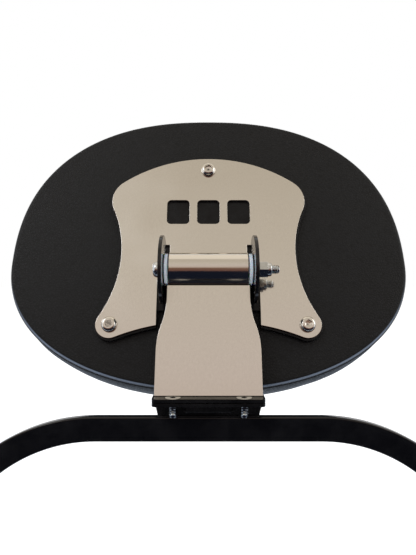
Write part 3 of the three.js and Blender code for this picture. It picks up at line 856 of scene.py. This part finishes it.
class BACKREST_OT_back_skin(bpy.types.Operator):
    """Leatherette stretched over the back panel, rolled at its edge, with the stitched back seam"""

    bl_idname = "backrest.back_skin"
    bl_label = "Back Skin"

    def execute(self, context):
        sizes = context.scene.backrest_sizes
        roll = sizes.skin_roll / MM
        rings = [(roll + 1.5, SKIN_REAR), (roll + 0.5, SKIN_REAR)]
        angles = [i * math.pi / 16 for i in range(1, 9)]
        rings += [(roll * (1 - math.sin(a)), SKIN_REAR + roll * (1 - math.cos(a))) for a in angles]
        rings += [(0.3, SEAM_AT - 1.2), (1.6, SEAM_AT - 0.3), (4.0, SEAM_AT)]
        bm = rings_of_oval(rings, 200)
        # Painted highlight on the roll, given per point: full at the bottom of the pad, fading out
        # before its middle
        stretch = bm.verts.layers.float.new("stretch")
        for vert in bm.verts:
            rolled = SKIN_REAR + 0.1 * roll < vert.co.y < SKIN_REAR + 0.6 * roll
            low = min(1, max(0, (PAD_WIDEST_AT - 10 - vert.co.z) / 45))
            vert[stretch] = low if rolled else 0
        piece(bm, "back_skin", "pad", "leatherette", ["back_panel"], sharp=NEVER)
        bm = bmesh.new()
        thread, pitch = sizes.thread / MM, sizes.stitch / MM
        path = [Vector((x, SEAM_AT + 0.6, z)) for x, z in walk_oval(0.2, pitch)]
        middle = Vector((0, SEAM_AT, PAD_WIDEST_AT))
        stitches(bm, path, lambda p: (p - middle).normalized(), thread, pitch * 0.7)
        # The black cord along the back seam is painted shade: it stands for the dark groove where
        # the roll meets the boxing
        seam_cord = closed_cord([Vector((x, SEAM_AT - 0.2, z)) for x, z in walk_oval(0.1, 3)], 0.75)
        piece(seam_cord, "back_seam_shade_cord", "pad", "leatherette", finish="thread", **SOFT)
        piece(bm, "back_stitching", "pad", "leatherette", finish="thread", **SOFT)
        return {"FINISHED"}


# ---- plates and hinge ------------------------------------------------------------------------


class BACKREST_OT_plates(bpy.types.Operator):
    """Polished cover plate with its three windows, on the black base plate"""

    bl_idname = "backrest.plates"
    bl_label = "Plates"

    def execute(self, context):
        edge = context.scene.backrest_sizes.plate_edge / MM
        bm = bmesh.new()
        pen = half_plate(bm, 0).line(SLOT_OUTER, SLOT_TOP).line(SLOT_INNER, SLOT_TOP)
        pen.line(SLOT_INNER, NOTCH_TOP).line(0, NOTCH_TOP)
        mirror_outline(bm)
        for place in (-1, 0, 1):
            rounded_rectangle(
                bm, X, Z, place * WINDOW_STEP - WINDOW_WIDTH / 2, WINDOW_LOW,
                WINDOW_WIDTH, WINDOW_HEIGHT, WINDOW_CORNER,
            )
        fill_round_holes(bm, Z * (WINDOW_LOW + WINDOW_HEIGHT / 2), Z)
        thicken(bm, Y, COVER_REAR, COVER_THICK)
        round_edges(bm, edge, 2)
        piece(bm, "cover_sheet", "pad", "polished_steel", ["cover_plate"])

        bm = bmesh.new()
        half_plate(bm, BASE_GROW).line(SLOT_OUTER, BASE_NOTCH_TOP).line(0, BASE_NOTCH_TOP)
        mirror_outline(bm)
        fill(bm)
        thicken(bm, Y, BASE_REAR, BASE_THICK)
        round_edges(bm, 2 * edge, 3)
        piece(bm, "base_sheet", "pad", "black_paint", ["base_plate"])
        return {"FINISHED"}


class BACKREST_OT_ears(bpy.types.Operator):
    """The two black ears welded to the base plate, round the hinge bolt"""

    bl_idname = "backrest.ears"
    bl_label = "Ears"

    def execute(self, context):
        sizes = context.scene.backrest_sizes
        radius, half, foot = EAR_RADIUS, EAR_HALF_FOOT, BASE_REAR - GAP
        side = math.asin(half / radius)
        for word, hand in SIDES:
            outside = hand * (EAR_INNER + EAR_THICK)
            bm = bmesh.new()
            pen = Pen(bm, Y, Z, radius * math.cos(side), half)
            pen.arc((0, 0), 2 * math.pi - 2 * side, 40).line(foot, -half).line(foot, half)
            pen.line(radius * math.cos(side), half)
            weld_points(bm)
            fill(bm)
            thicken(bm, X, min(outside, hand * EAR_INNER), EAR_THICK)
            round_edges(bm, sizes.plate_edge / MM, 3)
            low, high = (Vector((outside, foot - 0.2, z)) for z in (1 - half, half - 1))
            bead(bm, low, high, sizes.weld / MM)
            piece(bm, f"{word}_ear_plate", "pad", "black_paint", [f"{word}_ear"], "glossy_paint")
        return {"FINISHED"}


class BACKREST_OT_barrel(bpy.types.Operator):
    """Polished hinge barrel with a nylon top-hat bush at each end"""

    bl_idname = "backrest.barrel"
    bl_label = "Barrel and Bushes"

    def execute(self, context):
        bm = bmesh.new()
        ring(bm, X, -BARREL_HALF, BARREL_HALF, BARREL_BORE, BARREL_RADIUS, 72)
        round_edges(bm, 0.7, 3)
        piece(bm, "barrel_tube", "frame", "polished_steel", ["hinge_barrel"])
        face = BARREL_HALF + GAP
        outer, inner = face + BUSH_FLANGE, face - BUSH_SLEEVE_LENGTH
        for word, hand in SIDES:
            bm = bmesh.new()
            turn(bm, X * hand, [
                (outer, M6_CLEARANCE), (outer, BUSH_RADIUS), (face, BUSH_RADIUS),
                (face, BUSH_SLEEVE), (inner, BUSH_SLEEVE), (inner, M6_CLEARANCE),
                (outer, M6_CLEARANCE),
            ], 60)
            round_edges(bm, 0.5, 3)
            piece(bm, f"{word}_top_hat_bush", "frame", "nylon", [f"{word}_bush"])
        return {"FINISHED"}


def sink_hexagon(bm, lay, radius, depth):
    """Sinks a hexagon socket into the open top of a round head, and returns its floor."""
    made = bmesh.ops.create_circle(bm, cap_ends=False, radius=radius, segments=6, matrix=lay)
    sides = list({e for v in made["verts"] for e in v.link_edges})
    bmesh.ops.subdivide_edges(bm, edges=sides, cuts=7)
    hexagon = [e for e in bm.edges if not e.link_faces]
    bmesh.ops.bridge_loops(bm, edges=[e for e in bm.edges if len(e.link_faces) < 2])
    made = bmesh.ops.extrude_edge_only(bm, edges=hexagon)
    floor = verts_in(made["geom"])
    bmesh.ops.translate(bm, verts=floor, vec=depth)
    return bmesh.ops.contextual_create(bm, geom=edges_between(bm, floor))["faces"]


def button_screw(shank, threaded=0):
    """A button-head socket screw along Y, its seat at zero and its dome towards minus."""
    bm = bmesh.new()
    rim = 3.0
    dome = quarter_round(-M6_HEAD_HEIGHT, rim, M6_HEAD_HEIGHT - 0.55, M6_HEAD - rim, 8)
    core = M6_RADIUS - (0.42 if threaded else 0)
    turn(bm, Y, [
        *dome, (0, M6_HEAD), (0, M6_RADIUS), (shank - threaded, M6_RADIUS),
        (shank - threaded + 0.3, core), (shank - 1.0, core), (shank - 0.25, core - 0.6), (shank, 0),
    ], 48)
    lay = Matrix.Translation(Y * -M6_HEAD_HEIGHT) @ Matrix.Rotation(math.pi / 2, 4, "X")
    floor = sink_hexagon(bm, lay, M6_SOCKET / math.cos(math.pi / 6), Y * M6_SOCKET_DEPTH)
    # The drill leaves a shallow cone below the hexagon
    for thickness, depth in ((0.5, 0), (1.0, -0.5)):
        bmesh.ops.inset_region(bm, faces=floor, thickness=thickness, depth=depth)
    face_outwards(bm)
    if threaded:
        helix(bm, Y, shank - threaded + 0.8, shank - 0.9, M6_RADIUS, 0.5, 1.0)
    return bm


def hex_nut(bm, start, end, across, axis_turn):
    """A hexagon along X with its corners broken by a bevel."""
    lay = Matrix.Translation(X * start) @ Matrix.Rotation(axis_turn, 4, "X")
    lay @= Matrix.Rotation(math.pi / 2, 4, "Y")
    made = bmesh.ops.create_circle(
        bm, cap_ends=True, radius=across / 2 / math.cos(math.pi / 6), segments=6, matrix=lay,
    )
    face = made["verts"][0].link_faces[0]
    made = bmesh.ops.extrude_face_region(bm, geom=[face])
    bmesh.ops.translate(bm, verts=verts_in(made["geom"]), vec=X * (end - start))
    face_outwards(bm)
    round_edges(bm, 0.35, 2)


class BACKREST_OT_hinge_bolt(bpy.types.Operator):
    """Hinge bolt with its washers and the nylon-insert lock nut"""

    bl_idname = "backrest.hinge_bolt"
    bl_label = "Hinge Bolt"

    def execute(self, context):
        along = Matrix.Translation(X * -FASTENER_FACE) @ Matrix.Rotation(-math.pi / 2, 4, "Z")
        bm = button_screw(BOLT_END + FASTENER_FACE, threaded=14)
        piece(bm, "through_bolt", "pad", "zinc", ["hinge_bolt"], lay=along)
        for name, node, low in (
            ("head_side_washer", "bolt_washer", -WASHER_FACE - WASHER_THICK),
            ("nut_side_washer", "nut_washer", WASHER_FACE),
        ):
            bm = bmesh.new()
            ring(bm, X, low, low + WASHER_THICK, M6_CLEARANCE, WASHER_RADIUS, 48)
            round_edges(bm, 0.2, 2)
            piece(bm, name, "pad", "zinc", [node])
        bm = bmesh.new()
        hex_end = FASTENER_FACE + NUT_HEX
        end = hex_end + NUT_COLLAR
        hex_nut(bm, FASTENER_FACE, hex_end, NUT_ACROSS, LEAN)
        turn(bm, X, [
            (hex_end - 0.6, 3.4), (hex_end - 0.6, 4.55), (end - 0.9, 4.5), (end - 0.35, 4.3),
            (end, 3.8), (end, 3.5), (end - 0.8, 3.4), (hex_end - 0.6, 3.4),
        ], 40)
        piece(bm, "lock_nut_body", "pad", "zinc", ["lock_nut"])
        bm = bmesh.new()
        ring(bm, X, end - 1.6, end - 0.15, 2.9, 3.45, 36)
        round_edges(bm, 0.1, 2)
        piece(bm, "lock_nut_insert", "pad", "nylon")
        return {"FINISHED"}


class BACKREST_OT_pad_screws(bpy.types.Operator):
    """Three polished button heads that hold the plates to the pad"""

    bl_idname = "backrest.pad_screws"
    bl_label = "Pad Screws"

    def execute(self, context):
        for word, (x, z, turned) in SCREW_PLACES.items():
            bm = button_screw(TEE_NUT_FACE - COVER_REAR - 1)
            lay = Matrix.Translation((x, COVER_REAR - GAP, z)) @ Matrix.Rotation(turned, 4, "Y")
            nodes = [f"{word}_pad_screw"]
            piece(bm, f"{word}_button_screw", "pad", "polished_steel", nodes, lay=lay)
        return {"FINISHED"}


# ---- arm, bracket and hoop -------------------------------------------------------------------


class BACKREST_OT_arm(bpy.types.Operator):
    """Polished arm that flares from the barrel down to its level foot"""

    bl_idname = "backrest.arm"
    bl_label = "Arm"

    def execute(self, context):
        sizes = context.scene.backrest_sizes
        rise, run = (FLARE_TOP - FLARE_FOOT) / 2, (ARM_WIDE - ARM_SLIM) / 2
        bend = (rise ** 2 + run ** 2) / (2 * run)
        sweep = math.asin(rise / bend)
        bm = bmesh.new()
        pen = Pen(bm, X, Z, 0, ARM_TOP)
        pen.line(ARM_SLIM, ARM_TOP).line(ARM_SLIM, FLARE_TOP)
        pen.arc((ARM_SLIM + bend, FLARE_TOP), sweep, 12)
        pen.arc((ARM_WIDE - bend, FLARE_FOOT), -sweep, 12)
        pen.line(ARM_WIDE, ARM_CUT).line(0, ARM_CUT)
        mirror_outline(bm)
        fill(bm)
        thicken(bm, Y, -ARM_THICK / 2, ARM_THICK)
        round_edges(bm, sizes.plate_edge / MM, 2)
        bm.transform(Matrix.Rotation(-LEAN, 4, "X"))
        level = Z * (PLATE_TOP + GAP)
        bmesh.ops.bisect_plane(
            bm, geom=everything(bm), plane_co=level, plane_no=Z, clear_inner=True,
        )
        bmesh.ops.holes_fill(bm, edges=[e for e in bm.edges if e.is_boundary], sides=0)
        face_outwards(bm)
        piece(bm, "flared_arm", "frame", "polished_steel", ["arm"])

        bm = bmesh.new()
        behind = Matrix.Rotation(-LEAN, 3, "X") @ Vector((0, -ARM_THICK / 2, ARM_CUT))
        y = behind.y + (level.z - behind.z) * math.tan(LEAN) + 4.4
        left, right = (Vector((x, y, level.z + 0.3)) for x in (1 - ARM_WIDE, ARM_WIDE - 1))
        bead(bm, left, right, sizes.weld / MM)
        piece(bm, "arm_weld", "frame", "black_paint")
        return {"FINISHED"}


def level_plate(under, thick, holes=0.0):
    """The rounded plate shared by the arm's foot and the bracket's flange."""
    bm = bmesh.new()
    rounded_rectangle(
        bm, X, Y, -PLATE_HALF, PLATE_REAR, 2 * PLATE_HALF, PLATE_FRONT - PLATE_REAR, 3,
    )
    if holes:
        for side in (-1, 1):
            bmesh.ops.create_circle(
                bm, cap_ends=False, radius=holes, segments=32,
                matrix=Matrix.Translation((side * BRACKET_SCREW_X, BRACKET_SCREW_Y, 0)),
            )
        fill_round_holes(bm, Y * BRACKET_SCREW_Y, Y)
    else:
        fill(bm)
    thicken(bm, Z, under, thick)
    return bm


class BACKREST_OT_bracket(bpy.types.Operator):
    """Foot plate of the arm, screwed to the bent bracket that stands on the hoop"""

    bl_idname = "backrest.bracket"
    bl_label = "Foot Plate and Bracket"

    def execute(self, context):
        sizes = context.scene.backrest_sizes
        edge = sizes.plate_edge / MM
        bm = level_plate(PLATE_TOP - PLATE_THICK, PLATE_THICK, 4.9)
        round_edges(bm, edge, 2)
        piece(bm, "arm_foot_plate", "frame", "black_paint", ["foot_plate"])

        bm = level_plate(FLANGE_UNDER, FLANGE_THICK)
        web_rear = HOOP_REAR + 1
        web = bmesh.new()
        foot, foot_half, head, head_half = HOOP_TOP + GAP, 30.4, FLANGE_UNDER + 0.5, 32.6
        pen = Pen(web, X, Z, -foot_half, foot)
        pen.line(foot_half, foot).line(head_half, head).line(-head_half, head)
        pen.line(-foot_half, foot)
        weld_points(web)
        fill(web)
        thicken(web, Y, web_rear, 4)
        web_mesh = bpy.data.meshes.new("web")
        web.to_mesh(web_mesh)
        web.free()
        bm.from_mesh(web_mesh)
        bpy.data.meshes.remove(web_mesh)
        round_edges(bm, edge, 2)
        left, right = (Vector((x, web_rear - 0.2, HOOP_TOP + 0.2)) for x in (-30, 30))
        bead(bm, left, right, 0.8)
        piece(bm, "bent_bracket", "frame", "black_paint", ["hoop_bracket"])

        bm = bmesh.new()
        middle = Vector((0, web_rear - GAP - 4, FLANGE_UNDER - GAP - 2))
        lay = Matrix.Translation(middle) @ Matrix.Diagonal((27, 8, 4, 1))
        bmesh.ops.create_cube(bm, size=1, matrix=lay)
        round_edges(bm, 0.6, 3)
        for side in (-1, 1):
            corner = Vector((side * 13.4, web_rear - GAP - 7, FLANGE_UNDER - 4))
            bead(bm, corner, corner + Y * 6.5, 0.9)
        piece(bm, "stop_block", "frame", "black_paint", ["centre_gusset"])
        return {"FINISHED"}


class BACKREST_OT_bracket_screws(bpy.types.Operator):
    """Two countersunk screws through the foot plate, their threaded ends showing below"""

    bl_idname = "backrest.bracket_screws"
    bl_label = "Bracket Screws"

    def execute(self, context):
        face = Z * 0.02
        end = -M5_LENGTH
        for word, hand in SIDES:
            bm = bmesh.new()
            turn(bm, Z, [
                (end, 0), (end, 1.7), (end + 0.6, 2.1), (-3.4, 2.1), (-3.2, M5_RADIUS),
                (-1.9, M5_RADIUS), (-0.25, 4.5), (0, M5_HEAD), (face.z, 4.3), (face.z, 2.05),
            ], 40)
            sink_hexagon(bm, Matrix.Translation(face), M5_SOCKET, Z * -M5_SOCKET_DEPTH)
            face_outwards(bm)
            # The thread is drawn at twice its real pitch, to show
            helix(bm, Z, end + 1.0, -3.8, M5_RADIUS, 0.45, 1.5)
            lay = Matrix.Translation((hand * BRACKET_SCREW_X, BRACKET_SCREW_Y, PLATE_TOP))
            nodes = [f"{word}_bracket_screw"]
            piece(bm, f"{word}_countersunk_screw", "frame", "zinc", nodes, lay=lay)
        return {"FINISHED"}


class BACKREST_OT_hoop(bpy.types.Operator):
    """Flat-bar hoop bent over the tail, with a fixing lug welded inside each leg"""

    bl_idname = "backrest.hoop"
    bl_label = "Hoop and Lugs"

    def execute(self, context):
        sizes = context.scene.backrest_sizes
        angle, front, under = HOOP_SHOULDER_TURN, HOOP_REAR + HOOP_THICK, HOOP_TOP - HOOP_BAR
        round_at = Vector((HOOP_STRAIGHT, 0, HOOP_TOP - HOOP_BAR / 2 - HOOP_SHOULDER))
        corner_at = round_at + Vector((math.sin(angle), 0, math.cos(angle))) * (
            HOOP_SHOULDER - HOOP_CORNER
        )
        bm = bmesh.new()
        pen = Pen(bm, Y, Z, HOOP_REAR, under)
        pen.line(front, under).line(front, HOOP_TOP).line(HOOP_REAR, HOOP_TOP)
        pen.line(HOOP_REAR, under)
        weld_points(bm)
        bmesh.ops.bevel(
            bm, geom=bm.verts[:], offset=sizes.bar_edge / MM, offset_type="OFFSET", segments=3,
            profile=0.5, affect="VERTICES", material=-1,
        )
        section = bm.verts[:] + bm.edges[:]

        def edges_in(geom):
            return [g for g in geom if isinstance(g, bmesh.types.BMEdge)]

        def straight_on(geom, step):
            made = bmesh.ops.extrude_edge_only(bm, edges=edges_in(geom))["geom"]
            bmesh.ops.translate(bm, verts=verts_in(made), vec=step)
            return verts_in(made) + edges_in(made)

        def round_on(geom, centre, sweep):
            return bmesh.ops.spin(
                bm, geom=geom, cent=centre, axis=Y, angle=sweep, steps=18, use_merge=False,
            )["geom_last"]

        end = straight_on(section, X * HOOP_STRAIGHT)
        end = round_on(end, round_at, angle)
        end = round_on(end, corner_at, math.pi / 2 - angle)
        end = straight_on(end, Z * -HOOP_LEG)
        bmesh.ops.holes_fill(bm, edges=edges_in(end), sides=0)
        bmesh.ops.mirror(bm, geom=everything(bm), axis="X", merge_dist=1e-3)
        face_outwards(bm)
        piece(bm, "bent_hoop", "frame", "black_paint", ["hoop"], "glossy_paint", sharp=1.2)

        for word, hand in SIDES:
            low, high = (UPRIGHT.inverted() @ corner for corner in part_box(f"{word}_lug"))
            bm = bmesh.new()
            width, tall = high.y - low.y, high.z - low.z
            rounded_rectangle(bm, Y, Z, low.y, low.z, width, tall, width / 2 - 1)
            centre = (low + high) / 2
            for step in (-LUG_HOLE_STEP, LUG_HOLE_STEP):
                lay = Matrix.Translation((0, centre.y, centre.z + step))
                lay @= Matrix.Rotation(math.pi / 2, 4, "Y")
                bmesh.ops.create_circle(
                    bm, cap_ends=False, radius=LUG_HOLE, segments=32, matrix=lay,
                )
            fill_round_holes(bm, Y * centre.y, Y)
            thicken(bm, X, low.x, high.x - low.x)
            round_edges(bm, 0.6, 2)
            joint = hand * (LEG_X - HOOP_BAR / 2 - 0.1)
            for y in (HOOP_REAR, front):
                bead(bm, Vector((joint, y, low.z + 28)), Vector((joint, y, high.z - 5)), 1.2)
            piece(bm, f"{word}_fixing_lug", "frame", "black_paint", [f"{word}_lug"])
        return {"FINISHED"}


class BACKREST_OT_inside(bpy.types.Operator):
    """Finishes of the parts inside the pad, which keep their CAD shapes"""

    bl_idname = "backrest.inside"
    bl_label = "Inside Parts"

    def execute(self, context):
        finishes = {"pad_board": "plywood"}
        finishes.update({f"{word}_tee_nut": "zinc" for word in SCREW_PLACES})
        for node, finish in finishes.items():
            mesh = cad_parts[node].data
            mesh.materials.clear()
            mesh.materials.append(finished(finish))
        return {"FINISHED"}


# ---- stage -----------------------------------------------------------------------------------


def staged(name, bm, finish, camera_sees=False):
    """Stands a surface of the stage round the object. Most are seen by mirrors only."""
    mesh = bpy.data.meshes.new(name)
    bm.to_mesh(mesh)
    bm.free()
    mesh.materials.append(finished(finish))
    obj = bpy.data.objects.new(name, mesh)
    bpy.context.scene.collection.objects.link(obj)
    if not camera_sees:
        obj.visible_camera = obj.visible_diffuse = obj.visible_shadow = False
        obj.visible_transmission = obj.visible_volume_scatter = False


class BACKREST_OT_stage(bpy.types.Operator):
    """Pale floor, white room, soft lights, the cards that the metal mirrors, and the camera"""

    bl_idname = "backrest.stage"
    bl_label = "Stage"

    def execute(self, context):
        scene = context.scene
        scene.view_settings.view_transform = "Standard"

        world = bpy.data.worlds.new("White Room")
        scene.world = world
        world.use_nodes = True
        sky = world.node_tree.nodes["Background"].inputs
        sky["Color"].default_value = grey(1)
        sky["Strength"].default_value = 1.0

        bm = bmesh.new()
        bmesh.ops.create_grid(bm, x_segments=1, y_segments=1, size=12)
        staged("floor", bm, "floor", camera_sees=True)

        # One curved card from behind the viewer up over the object
        bm = bmesh.new()
        start = HINGE + Vector((0, -math.cos(ROOM_LOW), math.sin(ROOM_LOW))) * ROOM_REACH
        verts = [bm.verts.new(start + X * hand * ROOM_HALF_WIDTH) for hand in (-1, 1)]
        edge = bm.edges.new(verts)
        bmesh.ops.spin(
            bm, geom=verts + [edge], cent=HINGE, axis=-X, angle=ROOM_HIGH - ROOM_LOW, steps=24,
            use_merge=False,
        )
        staged("mirrored_room", bm, "room")

        # Two cards on the floor, dark behind the object and pale under and before it
        for name, near, far, height in (
            ("carpet", GROUND_SPLIT, -1.5, 0.002), ("shade", 0.9, GROUND_SPLIT, 0.0005),
        ):
            bm = bmesh.new()
            lay = Matrix.Translation((0, (near + far) / 2, height))
            lay @= Matrix.Diagonal((3, near - far, 1, 1))
            bmesh.ops.create_grid(bm, x_segments=1, y_segments=1, size=0.5, matrix=lay)
            staged(f"mirrored_{name}", bm, name)

        aim = Vector((0, 0, 0.25))
        for name, place, size, power, tint in (
            ("key", (-0.9, -0.9, 1.5), 0.9, 9, (0.93, 0.96, 1)),
            ("fill", (1.1, -0.5, 1.0), 0.7, 3, (1, 0.98, 0.95)),
            ("front", (0.3, 1.4, 1.2), 1.0, 8, (1, 1, 1)),
        ):
            data = bpy.data.lights.new(name, "AREA")
            data.shape, data.size, data.energy, data.color = "SQUARE", size, power, tint
            light = bpy.data.objects.new(name, data)
            scene.collection.objects.link(light)
            light.location = place
            light.rotation_euler = (aim - light.location).to_track_quat("-Z", "Y").to_euler()

        camera = bpy.data.objects.new("camera", bpy.data.cameras.new("camera"))
        scene.collection.objects.link(camera)
        camera.location = (-0.0003, -0.3503, 0.26145)
        camera.rotation_euler = (math.pi / 2, 0, 0)
        camera.data.lens = 31.135
        camera.data.sensor_width = 36
        camera.data.clip_start = 0.01
        scene.camera = camera
        return {"FINISHED"}


OPERATORS = (
    BACKREST_OT_cushion,
    BACKREST_OT_back_skin,
    BACKREST_OT_plates,
    BACKREST_OT_ears,
    BACKREST_OT_barrel,
    BACKREST_OT_hinge_bolt,
    BACKREST_OT_pad_screws,
    BACKREST_OT_arm,
    BACKREST_OT_bracket,
    BACKREST_OT_bracket_screws,
    BACKREST_OT_hoop,
    BACKREST_OT_inside,
    BACKREST_OT_stage,
)


class BACKREST_PT_panel(bpy.types.Panel):
    bl_idname = "BACKREST_PT_panel"
    bl_label = "Rider Backrest"
    bl_space_type = "VIEW_3D"
    bl_region_type = "UI"
    bl_category = "Backrest"

    def draw(self, context):
        layout = self.layout
        for group in (context.scene.backrest_sizes, context.scene.backrest_colours):
            column = layout.column(align=True)
            for name in group.__annotations__:
                column.prop(group, name)
        for operator in OPERATORS:
            layout.operator(operator.bl_idname)


CLASSES = (BackrestSizes, BackrestColours, *OPERATORS, BACKREST_PT_panel)


def register():
    for cls in CLASSES:
        bpy.utils.register_class(cls)
    bpy.types.Scene.backrest_sizes = PointerProperty(type=BackrestSizes)
    bpy.types.Scene.backrest_colours = PointerProperty(type=BackrestColours)


def unregister():
    del bpy.types.Scene.backrest_colours
    del bpy.types.Scene.backrest_sizes
    for cls in reversed(CLASSES):
        bpy.utils.unregister_class(cls)


def main():
    register()
    for operator in OPERATORS:
        group, name = operator.bl_idname.split(".")
        getattr(getattr(bpy.ops, group), name)()


if __name__ == "__main__":
    main()
